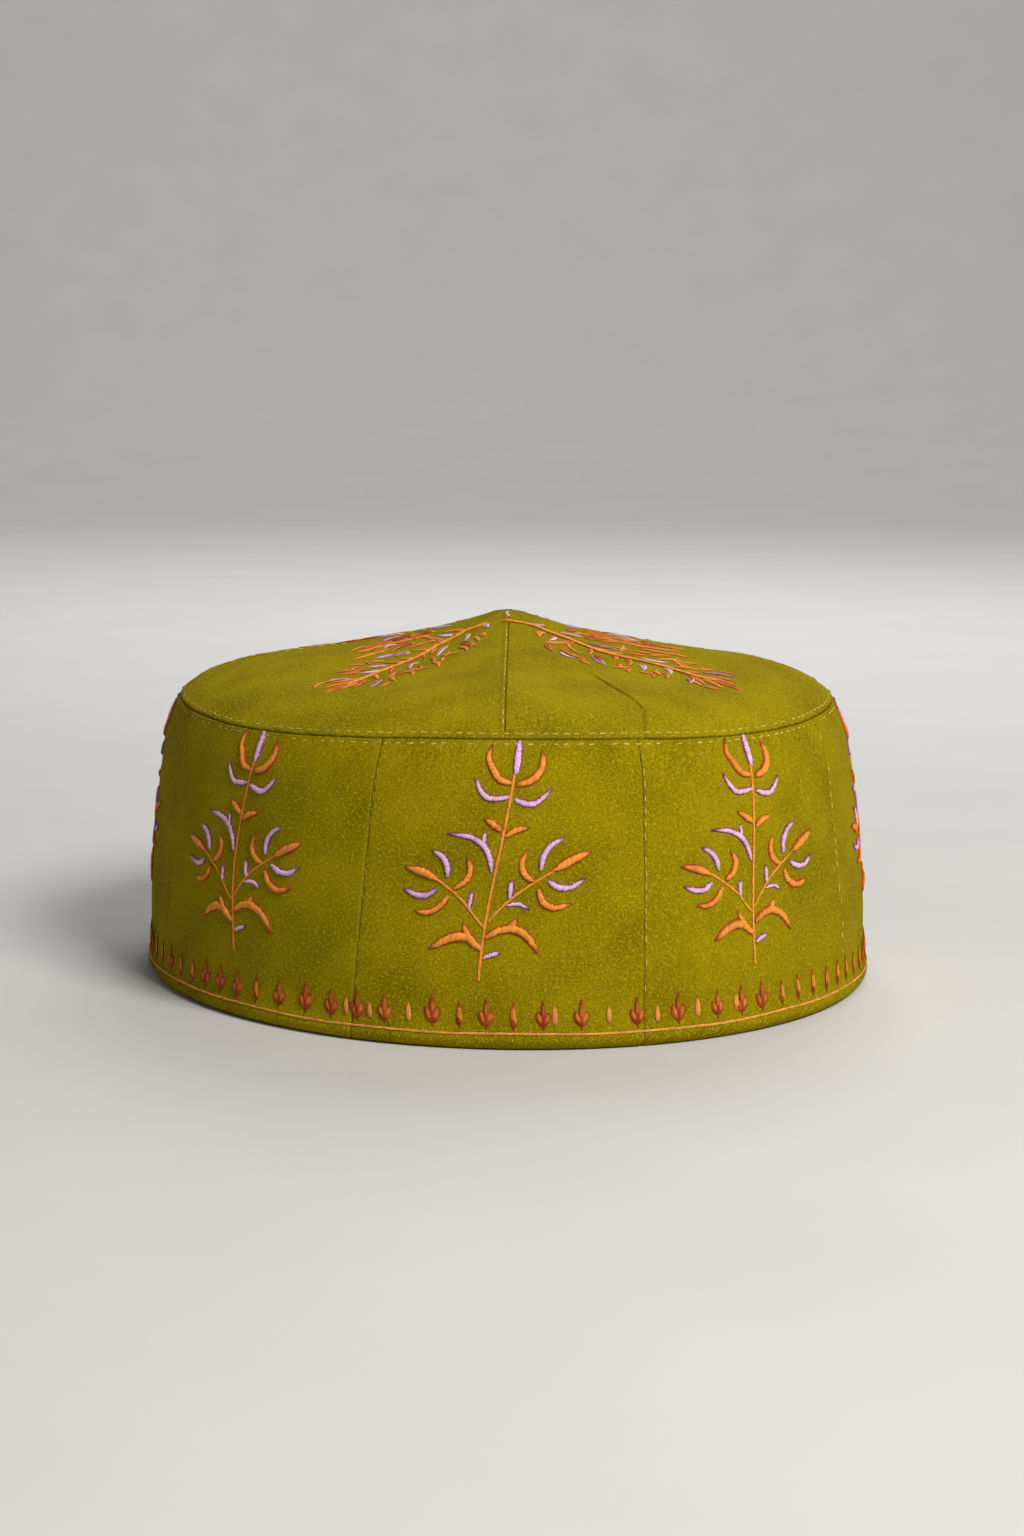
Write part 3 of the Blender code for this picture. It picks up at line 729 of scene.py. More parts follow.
class StageSizes(bpy.types.PropertyGroup):
    """The floor, the lights and the camera."""

    floor: bpy.props.FloatVectorProperty(
        name="Floor", description="Colour of the floor", default=(0.63, 0.625, 0.61), subtype="COLOR"
    )
    camera_back: bpy.props.FloatProperty(
        name="Camera back",
        description="Distance of the camera from the cap's middle",
        default=0.6495,
        unit="LENGTH",
    )
    camera_height: bpy.props.FloatProperty(
        name="Camera height", description="Height of the camera", default=0.1528, unit="LENGTH"
    )
    camera_down: bpy.props.FloatProperty(
        name="Camera down",
        description="How far the camera looks down",
        default=math.radians(8.973),
        subtype="ANGLE",
    )
    camera_right: bpy.props.FloatProperty(
        name="Camera right",
        description="How far it looks right",
        default=math.radians(0.1735),
        subtype="ANGLE",
    )
    lens: bpy.props.FloatProperty(name="Lens", description="Focal length, in millimetres", default=59.47)


def column(rows, name):
    """One named column of a table."""
    return np.array([row[name] for row in rows])


def lengths_along(line):
    """The length from the first point of a line to each of its points."""
    steps = np.linalg.norm(np.diff(line, axis=0), axis=1)
    return np.concatenate([[0.0], np.cumsum(steps)])


def smooth_line(points, count):
    """Evenly spaced points on a smooth curve through a few given ones."""
    points = np.asarray(points, float)
    knots = lengths_along(points)
    slopes = np.gradient(points, knots, axis=0)
    fine = np.linspace(0.0, knots[-1], 4 * count)
    span = np.clip(np.searchsorted(knots, fine, side="right") - 1, 0, len(knots) - 2)
    width = (knots[span + 1] - knots[span])[:, None]
    share = (fine - knots[span])[:, None] / width
    rest = 1.0 - share
    curve = (
        points[span] * rest**2 * (1.0 + 2.0 * share)
        + points[span + 1] * share**2 * (3.0 - 2.0 * share)
        + width * share * rest * (slopes[span] * rest - slopes[span + 1] * share)
    )
    lengths = lengths_along(curve)
    even = np.linspace(0.0, lengths[-1], count)
    return np.stack([np.interp(even, lengths, axis) for axis in curve.T], axis=1)


def smooth_step(value, low, high):
    """0 below low, 1 above high and smooth between."""
    share = np.clip((value - low) / (high - low), 0.0, 1.0)
    return share**2 * (3.0 - 2.0 * share)


def hump(gap, width):
    """1 at no gap and 0 a few widths away."""
    return np.exp(-((gap / width) ** 2))


def lip(gap, form):
    """The height of a rounded lip beside a seam."""
    return form["height"] * hump(gap - form["place"], form["width"])


def nearest_turn(turn, seams):
    """The signed turn from the nearest of several seams, which are rows of turns like turn itself."""
    gaps = (turn - seams + FULL_TURN / 2) % FULL_TURN - FULL_TURN / 2
    nearest = np.abs(gaps).argmin(axis=0)
    return np.take_along_axis(gaps, nearest[None], axis=0)[0]


class CapForm:
    """The cap's outer face, read by a turn and a way."""

    def __init__(self, sizes):
        self.sizes = sizes
        wall = smooth_line(self.wall_points(), OUTLINE_STEPS)
        crown = smooth_line(self.crown_points(), OUTLINE_STEPS)
        crown = crown[crown[:, 0] >= 0.0]
        self.line = np.concatenate([wall[:-1], crown])
        self.ways = lengths_along(self.line)
        self.seam_way = self.ways[len(wall) - 1]
        self.tip_way = np.interp(-TIP_RADIUS, -self.line[:, 0][len(wall) :], self.ways[len(wall) :])
        self.normals = self.outward()
        self.inwards = self.cloth_direction()

    def wall_points(self):
        """The outline's points from the hem's foot to the crown's seam."""
        sizes = self.sizes
        hem = [
            (sizes.hem_radius + row["bulge"] * sizes.hem_cloth, row["rise"] * sizes.hem_roll)
            for row in HEM_ROWS
        ]
        wall = [
            (
                sizes.seam_radius + row["swell"] * (sizes.hem_radius - sizes.seam_radius),
                sizes.hem_roll + row["rise"] * (sizes.band_height - sizes.hem_roll),
            )
            for row in BAND_ROWS
        ]
        return hem + wall

    def crown_points(self):
        """The outline's points from the crown's seam over the tip to the first point beyond it."""
        sizes = self.sizes
        rise = sizes.cap_height - sizes.band_height
        rows = [
            (row["reach"] * sizes.seam_radius, sizes.band_height + row["rise"] * rise) for row in CROWN_ROWS
        ]
        beyond = (-rows[-1][0], rows[-1][1])
        return [(sizes.seam_radius, sizes.band_height)] + rows + [(0.0, sizes.cap_height), beyond]

    def outward(self):
        """The outline's outward normals, blurred so that they turn gently over the crown's seam."""
        along = np.gradient(self.line, self.ways, axis=0)
        normals = np.stack([along[:, 1], -along[:, 0]], axis=1)
        width = max(3, round(2 * NORMAL_BLUR / np.median(np.diff(self.ways))))
        padded = np.pad(normals, ((width, width), (0, 0)), mode="edge")
        kernel = np.ones(width) / width
        axes = [np.convolve(axis, kernel, mode="same")[width:-width] for axis in padded.T]
        blurred = np.stack(axes, axis=1)
        return blurred / np.linalg.norm(blurred, axis=1, keepdims=True)

    def cloth_direction(self):
        """Where the cloth's thickness lies: level at the hem and square to the outline over it."""
        level = 1.0 - smooth_step(self.line[:, 1], 0.3 * self.sizes.hem_top, self.sizes.hem_top)
        level = np.where(self.ways > self.seam_way, 0.0, level)[:, None]
        inwards = -self.normals * (1.0 - level) + np.array([-1.0, 0.0]) * level
        return inwards / np.linalg.norm(inwards, axis=1, keepdims=True)

    def read(self, way, values):
        """Columns of values along the outline, read at ways."""
        return (np.interp(way, self.ways, axis) for axis in values.T)

    def lobe(self, turn):
        """1 over the crown's seams and -1 between them."""
        return np.cos(GORE_COUNT * np.radians(turn - GORE_TURN))

    def way_at(self, turn, height):
        """The way up the band to a height, at a turn."""
        sizes = self.sizes
        up_the_wall = np.clip(height / sizes.band_height, 0.0, 1.0)
        plain = height - sizes.seam_wave * self.lobe(turn) * up_the_wall**2
        wall = self.ways <= self.seam_way
        return np.interp(plain, self.line[wall, 1], self.ways[wall])

    def crown_way(self, reach):
        """The way over the crown to a distance from the tip, seen from above."""
        crown = self.ways >= self.seam_way
        return np.interp(-reach, -self.line[crown, 0], self.ways[crown])

    def radius_at(self, height):
        """The band's radius at a height."""
        wall = self.ways <= self.seam_way
        return np.interp(height, self.line[wall, 1], self.line[wall, 0])

    def panel_seam(self, index, height):
        """The turn of the seam at a panel's left edge, at a height of the plain outline."""
        row = BAND_PANELS[index % len(BAND_PANELS)]
        laps = index // len(BAND_PANELS) * FULL_TURN
        share = height / self.sizes.band_height
        return row["left_foot"] + (row["left"] - row["left_foot"]) * share + laps

    def seam_gap(self, turn, way, radius, height):
        """The signed distance to the nearest seam up the cap: a panel's on the band or a gore's above it."""
        panels = np.stack([self.panel_seam(index, height) for index in range(len(BAND_PANELS))])
        step = FULL_TURN / GORE_COUNT
        gore_gap = (turn - GORE_TURN + step / 2) % step - step / 2
        turns = np.where(way < self.seam_way, nearest_turn(turn, panels), gore_gap)
        return np.radians(turns) * radius

    def swells(self, turn, way, radius):
        """Soft unevenness all over, which dies away at the hem's foot and towards the tip."""
        around = np.radians(turn)
        total = sum(
            row["share"] * np.cos(row["waves"] * around + math.tau * row["climb"] * way + row["phase"])
            for row in SWELLS
        )
        fade = smooth_step(way, 0.002, 0.012) * smooth_step(radius, 0.004, 0.035)
        return self.sizes.swell * total * fade

    def crease_step(self, turn, radius):
        """The crease in the front right gore: the share of its fold's height and of its line's depth."""
        right, forward = radius * np.sin(np.radians(turn)), radius * np.cos(np.radians(turn))
        line = np.array(CREASE) * MM
        best = np.full(np.shape(right), 1.0)
        side = np.zeros(np.shape(right))
        for start, end in zip(line, line[1:]):
            along = end - start
            share = ((right - start[0]) * along[0] + (forward - start[1]) * along[1]) / (along @ along)
            share = np.clip(share, 0.0, 1.0)
            off_right = right - start[0] - share * along[0]
            off_forward = forward - start[1] - share * along[1]
            gap = np.hypot(off_right, off_forward)
            nearer = gap < best
            best = np.where(nearer, gap, best)
            side = np.where(nearer, np.sign(off_right * along[1] - off_forward * along[0]), side)
        length = smooth_step(forward, line[0][1], line[1][1] + CREASE_FADE)
        fold = smooth_step(side * best, *CREASE_FOLD_EDGE) * hump(best, CREASE_FOLD_WIDTH)
        return length * fold, length * hump(best, CREASE_LINE_WIDTH)

    def relief(self, turn, way, radius, height):
        """How far the cloth stands off the plain outline."""
        sizes = self.sizes
        on_band = way < self.seam_way
        fold, line = self.crease_step(turn, radius)
        gap = self.seam_gap(turn, way, radius, height)
        rim = np.abs(way - self.seam_way)
        around = np.cos(math.tau * np.radians(turn) * radius / PUCKERS_ROUND["pitch"])
        around = around * hump(rim, PUCKERS_ROUND["reach"])
        upright = np.cos(math.tau * way / PUCKERS_UP["pitch"]) * hump(gap, PUCKERS_UP["reach"])
        band = -sizes.panel_valley * hump(gap, PANEL_VALLEY_WIDTH) + lip(np.abs(gap), PANEL_LIPS)
        crown = -sizes.gore_valley * hump(gap, GORE_VALLEY_WIDTH) + lip(gap, GORE_LIP)
        crown_lip = sizes.crown_lip * hump(rim - CROWN_LIP["place"], CROWN_LIP["width"])
        crown_lip = np.where(on_band, CROWN_LIP["share_on_band"], 1.0) * crown_lip
        groove_gap = rim - sizes.cloth * CROWN_GROOVE["place"]
        groove = CROWN_GROOVE["height"] * hump(groove_gap, CROWN_GROOVE["width"])
        edge = -sizes.crown_valley * hump(rim, CROWN_VALLEY_WIDTH) + crown_lip + groove
        up = np.where(on_band, band, crown) * smooth_step(radius, 0.0, 0.004)
        puckers = around + PUCKERS_UP["share"] * upright * smooth_step(radius, 0.004, 0.02)
        crease = np.where(on_band, 0.0, sizes.crease * (fold - CREASE_LINE_DEPTH * line))
        return self.swells(turn, way, radius) + up + edge + sizes.pucker * puckers + crease

    def point(self, turn, way, lift=0.0, depth=0.0):
        """Points of the face, stood off it by a lift and sunk into the cloth by a depth."""
        sizes = self.sizes
        turn, way = np.broadcast_arrays(np.asarray(turn, float), np.asarray(way, float))
        radius, height = self.read(way, self.line)
        normal_out, normal_up = self.read(way, self.normals)
        inward_out, inward_up = self.read(way, self.inwards)
        reach = radius / sizes.seam_radius
        crown_share = np.where(way > self.seam_way, 1.0 - reach, 0.0)
        up_the_wall = np.minimum(height / sizes.band_height, 1.0)
        dips = np.concatenate([[0.0], column(CROWN_ROWS, "dip")[::-1], [0.0]])
        dip = np.interp(reach, np.concatenate([[0.0], column(CROWN_ROWS, "reach")[::-1], [1.0]]), dips)
        dip = np.where(way > self.seam_way, dip, 0.0)
        between = np.abs(np.sin(GORE_COUNT / 2 * np.radians(turn - GORE_TURN))) ** 1.3
        wave = sizes.seam_wave * self.lobe(turn) * up_the_wall**2 * (1.0 - crown_share)
        stand = lift + self.relief(turn, way, radius, height)
        tall = height + stand * normal_up + depth * inward_up + wave - sizes.gore_sag * dip * between
        wide = radius + stand * normal_out + depth * inward_out
        oval = HEM_OVAL + (CROWN_OVAL - HEM_OVAL) * up_the_wall
        across = np.radians(turn - OVAL_TURN)
        along_oval = wide * (1.0 + oval) * np.cos(across)
        across_oval = wide * (1.0 - oval) * np.sin(across)
        tilt = math.radians(OVAL_TURN)
        right = along_oval * math.sin(tilt) + across_oval * math.cos(tilt)
        forward = along_oval * math.cos(tilt) - across_oval * math.sin(tilt)
        return np.stack(
            [right + APEX_RIGHT * crown_share, -forward - APEX_FORWARD * crown_share, np.maximum(tall, 0.0)],
            axis=-1,
        )

    def thickness(self, way):
        """The cloth's thickness: two layers at the hem, and one over it."""
        height = np.interp(way, self.ways, self.line[:, 1])
        above = smooth_step(height, self.sizes.hem_top - 0.0002, self.sizes.hem_top + 0.0005)
        above = np.where(way > self.seam_way, 1.0, above)
        return self.sizes.hem_cloth + (self.sizes.cloth - self.sizes.hem_cloth) * above


def add_node(tree, kind, inputs=None, **settings):
    """A shader node with its settings, each input set to a value or linked to another node's socket."""
    made = tree.nodes.new(kind)
    for name, value in settings.items():
        setattr(made, name, value)
    for name, value in (inputs or {}).items():
        if isinstance(value, bpy.types.NodeSocket):
            tree.links.new(value, made.inputs[name])
        else:
            made.inputs[name].default_value = value
    return made


def add_math(tree, operation, first, second=0.0, third=0.0):
    """The result of a Math node."""
    return add_node(
        tree, "ShaderNodeMath", {0: first, 1: second, 2: third}, operation=operation, use_clamp=False
    ).outputs[0]


def add_mix(tree, share, first, second, blend="MIX"):
    """The result of mixing two colours."""
    made = add_node(
        tree, "ShaderNodeMix", {"Factor": share}, data_type="RGBA", blend_type=blend, clamp_factor=True
    )
    for index, value in ((6, first), (7, second)):
        if isinstance(value, bpy.types.NodeSocket):
            tree.links.new(value, made.inputs[index])
        else:
            made.inputs[index].default_value = value
    return made.outputs[2]


def add_range(tree, value, low, high):
    """A value stretched so that low becomes 0 and high becomes 1, and kept between them."""
    return add_node(
        tree, "ShaderNodeMapRange", {"Value": value, "From Min": low, "From Max": high}, clamp=True
    ).outputs["Result"]


def add_noise(tree, place, scale, detail, roughness=0.5):
    """The outputs of a Noise Texture node."""
    inputs = {"Vector": place, "Scale": scale, "Detail": detail, "Roughness": roughness}
    return add_node(tree, "ShaderNodeTexNoise", inputs).outputs


def new_group(name, inputs, outputs):
    """An empty shader node group, with its input and output nodes. Sockets are given as names and kinds."""
    group = bpy.data.node_groups.new(name, "ShaderNodeTree")
    for socket, kind in inputs.items():
        group.interface.new_socket(name=socket, in_out="INPUT", socket_type=kind)
    for socket, kind in outputs.items():
        group.interface.new_socket(name=socket, in_out="OUTPUT", socket_type=kind)
    return group, group.nodes.new("NodeGroupInput").outputs, group.nodes.new("NodeGroupOutput").inputs


def colour_of(value):
    """A colour property with its alpha."""
    return (*value, 1.0)


def streaks(group, place, angle, thin, long, sharp):
    """Fine wavy ridges in one direction over the cloth, 0 in the hollows and 1 on the crests."""
    inputs = {"Vector": place, "Angle": math.radians(angle)}
    turned = add_node(group, "ShaderNodeVectorRotate", inputs, rotation_type="Z_AXIS").outputs["Vector"]
    scaled = add_node(
        group, "ShaderNodeVectorMath", {0: turned, 1: (1.0 / thin, 1.0 / long, 1.0)}, operation="MULTIPLY"
    ).outputs["Vector"]
    noise = add_noise(group, scaled, 1.0, 2.0, 0.45)["Fac"]
    off_middle = add_math(group, "ABSOLUTE", add_math(group, "SUBTRACT", noise, 0.5))
    return add_range(group, off_middle, sharp, 0.0)


def plain_weave(group, place):
    """The checked rise and fall of a plain weave."""
    parts = add_node(group, "ShaderNodeSeparateXYZ", {"Vector": place})
    across, along = (
        add_math(group, "SINE", add_math(group, "MULTIPLY", parts.outputs[axis], math.tau / WEAVE_PITCH))
        for axis in ("X", "Y")
    )
    return add_math(group, "MULTIPLY", across, along)


def crinkle_group():
    """The brushed cotton's crinkle: its tone and its height at a place in millimetres."""
    group, given, result = new_group(
        "crinkled_cotton",
        {
            "Place": "NodeSocketVector",
            "Highlight Share": "NodeSocketFloat",
            "Strain": "NodeSocketFloat",
            "Deep": "NodeSocketColor",
            "Middle": "NodeSocketColor",
            "Lit Nap": "NodeSocketColor",
        },
        {"Colour": "NodeSocketColor", "Height": "NodeSocketFloat"},
    )
    place = given["Place"]
    noises = {name: add_noise(group, place, **noise) for name, noise in COTTON_NOISES.items()}
    grit = noises["grit"]["Fac"]
    centred = add_node(
        group, "ShaderNodeVectorMath", {0: noises["drift"]["Color"], 1: (0.5, 0.5, 0.5)}, operation="SUBTRACT"
    )
    warp = add_node(
        group,
        "ShaderNodeVectorMath",
        {0: centred.outputs["Vector"], 1: COTTON_WARP, 2: place},
        operation="MULTIPLY_ADD",
    ).outputs["Vector"]
    falling, rising, folds = (streaks(group, warp, **ridges) for ridges in COTTON_RIDGES.values())
    which = add_range(group, noises["sway"]["Fac"], 0.47, 0.53)
    ridges = add_node(
        group, "ShaderNodeMix", {"Factor": which, "A": falling, "B": rising}, data_type="FLOAT"
    ).outputs["Result"]
    nap = add_math(group, "MULTIPLY", ridges, add_range(group, noises["scatter"]["Fac"], 0.50, 0.72))
    shade = add_range(group, noises["patches"]["Fac"], 0.30, 0.62)
    ground = add_mix(group, shade, given["Deep"], given["Middle"])
    weave = plain_weave(group, warp)
    tone, rise = COTTON_TONE, COTTON_HEIGHT
    speckle = add_math(group, "MULTIPLY_ADD", grit, tone["grit"], -tone["grit"] / 2)
    checks = add_math(group, "MULTIPLY_ADD", weave, tone["weave"], speckle)
    napped = add_math(group, "MULTIPLY_ADD", nap, tone["nap"], checks)
    # Painted highlight: the nap's crests and the weave's high parts lighten towards the nap colour
    lit = add_math(group, "MULTIPLY", napped, given["Highlight Share"])
    # Painted shade: where the weave and the grit are low, the ground goes to the deep tone and on to black
    shadowed = add_mix(group, add_range(group, checks, -0.05, -0.75), ground, given["Deep"])
    hollow = add_mix(group, add_range(group, checks, -0.15, -1.30), shadowed, (0.0, 0.0, 0.0, 1.0))
    group.links.new(add_mix(group, add_range(group, lit, 0.0, 1.0), hollow, given["Lit Nap"]), result["Colour"])
    coarse = add_math(group, "MULTIPLY", grit, rise["grit"])
    fine = add_math(group, "MULTIPLY_ADD", nap, rise["nap"], coarse)
    woven = add_math(group, "MULTIPLY_ADD", weave, rise["weave"], fine)
    strained = add_math(group, "MULTIPLY", folds, given["Strain"])
    group.links.new(add_math(group, "MULTIPLY_ADD", strained, rise["folds"], woven), result["Height"])
    return group


def thread_group():
    """Cotton thread: it darkens to its rim, each stitch has its own tint, and fine plies run over it."""
    group, given, result = new_group(
        "cotton_thread",
        {
            "Place": "NodeSocketVector",
            "Rim": "NodeSocketFloat",
            "Tint": "NodeSocketFloat",
            "Body": "NodeSocketColor",
            "Edge": "NodeSocketColor",
        },
        {"Colour": "NodeSocketColor", "Height": "NodeSocketFloat"},
    )
    plies, stain = (add_noise(group, given["Place"], **noise)["Fac"] for noise in THREAD_NOISES.values())
    # The rim is partly a darker outline thread and partly painted shade; the stains break its edge
    off_middle = add_math(group, "SUBTRACT", stain, 0.5)
    uneven = add_math(group, "MULTIPLY_ADD", off_middle, RIM_STAIN, given["Rim"])
    mixed = add_mix(group, add_range(group, uneven, 0.0, 1.0), given["Body"], given["Edge"])
    # Painted shade between the plies: the thread is darker where they are low
    depth = add_math(group, "MULTIPLY_ADD", plies, PLY_TONE, PLY_TONE_FROM)
    tone = add_math(group, "MULTIPLY_ADD", given["Tint"], TINT_TONE, depth)
    grey = add_node(group, "ShaderNodeCombineColor", {"Red": tone, "Green": tone, "Blue": tone})
    group.links.new(add_mix(group, 1.0, mixed, grey.outputs["Color"], "MULTIPLY"), result["Colour"])
    group.links.new(plies, result["Height"])
    return group


def shared_group(name, build):
    """A node group by its name, built once."""
    return bpy.data.node_groups.get(name) or build()


def new_material(name, roughness, specular):
    """A material and its shader. What is the same all over is set on the shader's own sockets."""
    material = bpy.data.materials.new(name)
    material.use_nodes = True
    shader = material.node_tree.nodes["Principled BSDF"]
    shader.inputs["Roughness"].default_value = roughness
    shader.inputs["Specular IOR Level"].default_value = specular
    return material, shader


def read_attribute(tree, name, socket):
    """A named attribute of the mesh."""
    node = add_node(tree, "ShaderNodeAttribute", attribute_type="GEOMETRY", attribute_name=name)
    return node.outputs[socket]


def add_bump(tree, shader, strength, distance, height):
    """Give a shader a fine relief."""
    bump = add_node(tree, "ShaderNodeBump", {"Strength": strength, "Distance": distance, "Height": height})
    tree.links.new(bump.outputs["Normal"], shader.inputs["Normal"])


def cloth_material(name, deep, middle, nap, nap_highlight, relief):
    """Crinkled cotton in three tones, with painted highlights and shade in its crinkle, and painted shade in
    its seams.
    """
    if name in bpy.data.materials:
        return bpy.data.materials[name]
    material, shader = new_material(name, COTTON_ROUGHNESS, COTTON_SPECULAR)
    tree = material.node_tree
    cotton = add_node(tree, "ShaderNodeGroup", node_tree=shared_group("crinkled_cotton", crinkle_group))
    tree.links.new(read_attribute(tree, "grain", "Vector"), cotton.inputs["Place"])
    tree.links.new(read_attribute(tree, "strain", "Fac"), cotton.inputs["Strain"])
    for socket, value in (("Highlight Share", nap_highlight), ("Deep", deep), ("Middle", middle), ("Lit Nap", nap)):
        cotton.inputs[socket].default_value = value
    # Painted shade: the cloth goes towards a dark tone in its seams and its crease
    sunk = add_math(tree, "MULTIPLY", read_attribute(tree, "seam", "Fac"), SEAM_SHADOW)
    dark = colour_of(SEAM_SHADOW_TONE * part for part in deep[:3])
    tree.links.new(add_mix(tree, sunk, cotton.outputs["Colour"], dark), shader.inputs["Base Color"])
    add_bump(tree, shader, relief, COTTON_DEPTH, cotton.outputs["Height"])
    return material


def cloth_materials(colours):
    """The cloth's two sides: the wrong one is duller, with less relief and a weaker painted highlight on its
    nap.
    """
    right = cloth_material(
        "lime_crinkled_cotton",
        colour_of(colours.olive),
        colour_of(colours.lime),
        colour_of(colours.nap_highlight_yellow),
        **RIGHT_SIDE,
    )
    wrong = cloth_material(
        "lime_cotton_wrong_side",
        colour_of(0.80 * part for part in colours.olive),
        colour_of(0.85 * part for part in colours.lime),
        colour_of(colours.lime),
        **WRONG_SIDE,
    )
    return right, wrong


def thread_material(name, body, edge, roughness=SATIN_ROUGHNESS):
    """Cotton thread in a body colour and a rim colour."""
    if name in bpy.data.materials:
        return bpy.data.materials[name]
    material, shader = new_material(name, roughness, THREAD_SPECULAR)
    tree = material.node_tree
    thread = add_node(tree, "ShaderNodeGroup", node_tree=shared_group("cotton_thread", thread_group))
    place = add_node(tree, "ShaderNodeTexCoord").outputs["Object"]
    tree.links.new(place, thread.inputs["Place"])
    tree.links.new(read_attribute(tree, "rim", "Fac"), thread.inputs["Rim"])
    tree.links.new(read_attribute(tree, "tint", "Fac"), thread.inputs["Tint"])
    thread.inputs["Body"].default_value = body
    thread.inputs["Edge"].default_value = edge
    tree.links.new(thread.outputs["Colour"], shader.inputs["Base Color"])
    add_bump(tree, shader, THREAD_RELIEF, THREAD_DEPTH, thread.outputs["Height"])
    return material


def threads(colours):
    """The needlework's materials by the names of their threads."""
    lime, rust, purple = (colour_of(value) for value in (colours.lime, colours.rust, colours.purple))
    return {
        "orange": thread_material("orange_satin_thread", colour_of(colours.orange), rust),
        "lilac": thread_material("lilac_satin_thread", colour_of(colours.lilac), purple),
        "pale_lilac": thread_material("pale_lilac_thread", colour_of(colours.pale_lilac), rust),
        "line": thread_material("couched_line_thread", colour_of(colours.line), rust),
        "pale": thread_material("pale_sewing_thread", colour_of(colours.pale), lime, SEWING_ROUGHNESS),
    }


def new_piece(name, points, faces, materials, attributes, face_materials=None):
    """A mesh piece in the cap's frame. attributes holds values for each point by name."""
    mesh = bpy.data.meshes.new(name)
    mesh.from_pydata(points.reshape(-1, 3), [], faces)
    for attribute, values in attributes.items():
        kind, field = ("FLOAT_VECTOR", "vector") if np.ndim(values) == 2 else ("FLOAT", "value")
        layer = mesh.attributes.new(attribute, kind, "POINT")
        layer.data.foreach_set(field, np.ravel(values).astype(np.float32))
    for material in materials:
        mesh.materials.append(material)
    if face_materials is not None:
        mesh.polygons.foreach_set("material_index", face_materials)
    mesh.shade_smooth()
    mesh.set_sharp_from_angle(angle=math.radians(SHARP_EDGE))
    mesh.update()
    piece = bpy.data.objects.new(name, mesh)
    bpy.context.scene.collection.objects.link(piece)
    return piece


def graded(length, first_steps, last_steps):
    """Places along a length: close together at both ends, by steps in millimetres, and even between."""
    start = np.concatenate([[0.0], np.cumsum(first_steps)]) * MM
    end = length - np.concatenate([[0.0], np.cumsum(last_steps)])[::-1] * MM
    count = max(2, round((end[0] - start[-1]) / CLOTH_STEP))
    middle = np.linspace(start[-1], end[0], count + 1)[1:-1]
    return np.concatenate([start, middle, end])


def shell_faces(rows, columns):
    """The faces of a closed piece of cloth: its outer and inner grids and the strips round their edges."""
    index = np.arange(rows * columns).reshape(rows, columns)
    corners = [index[:-1, :-1], index[:-1, 1:], index[1:, 1:], index[1:, :-1]]
    quads = np.stack(corners, axis=-1).reshape(-1, 4)
    inner = quads[:, ::-1] + rows * columns
    edge = np.concatenate([index[0, :-1], index[:-1, -1], index[-1, :0:-1], index[:0:-1, 0]])
    following = np.roll(edge, -1)
    strip = np.stack([following, edge, edge + rows * columns, following + rows * columns], axis=-1)
    return np.concatenate([quads, inner, strip]), len(quads)


def seam_shade_and_strain(form, turns, ways, radii, heights):
    """How dark the shade painted into the cloth's seams and its crease is, and how strongly its seams strain
    it.
    """
    gap = form.seam_gap(turns, ways, radii, heights)
    rim = np.abs(ways - form.seam_way)
    on_crown = ways > form.seam_way
    gain = smooth_step(ways, SEAM_GAIN_FROM * form.seam_way, form.seam_way)
    gain = np.where(on_crown, SEAM_GAIN_ON_CROWN, gain)
    up = (SEAMS_UP["shade"] + SEAMS_UP["shade_gain"] * gain) * hump(gap, SEAMS_UP["line"])
    around = SEAM_ROUND["shade"] * hump(rim, SEAM_ROUND["line"])
    crease_shadow = CREASE_SHADE * form.crease_step(turns, radii)[1] * on_crown
    at_hem = 1.0 - smooth_step(ways, *HEM_STRAIN)
    at_rim = SEAM_ROUND["strain"] * hump(rim, SEAM_ROUND["reach"])
    at_seam = SEAMS_UP["strain"] * hump(gap, SEAMS_UP["reach"])
    return np.maximum.reduce([up, around, crease_shadow]), np.maximum.reduce([at_hem, at_rim, at_seam])


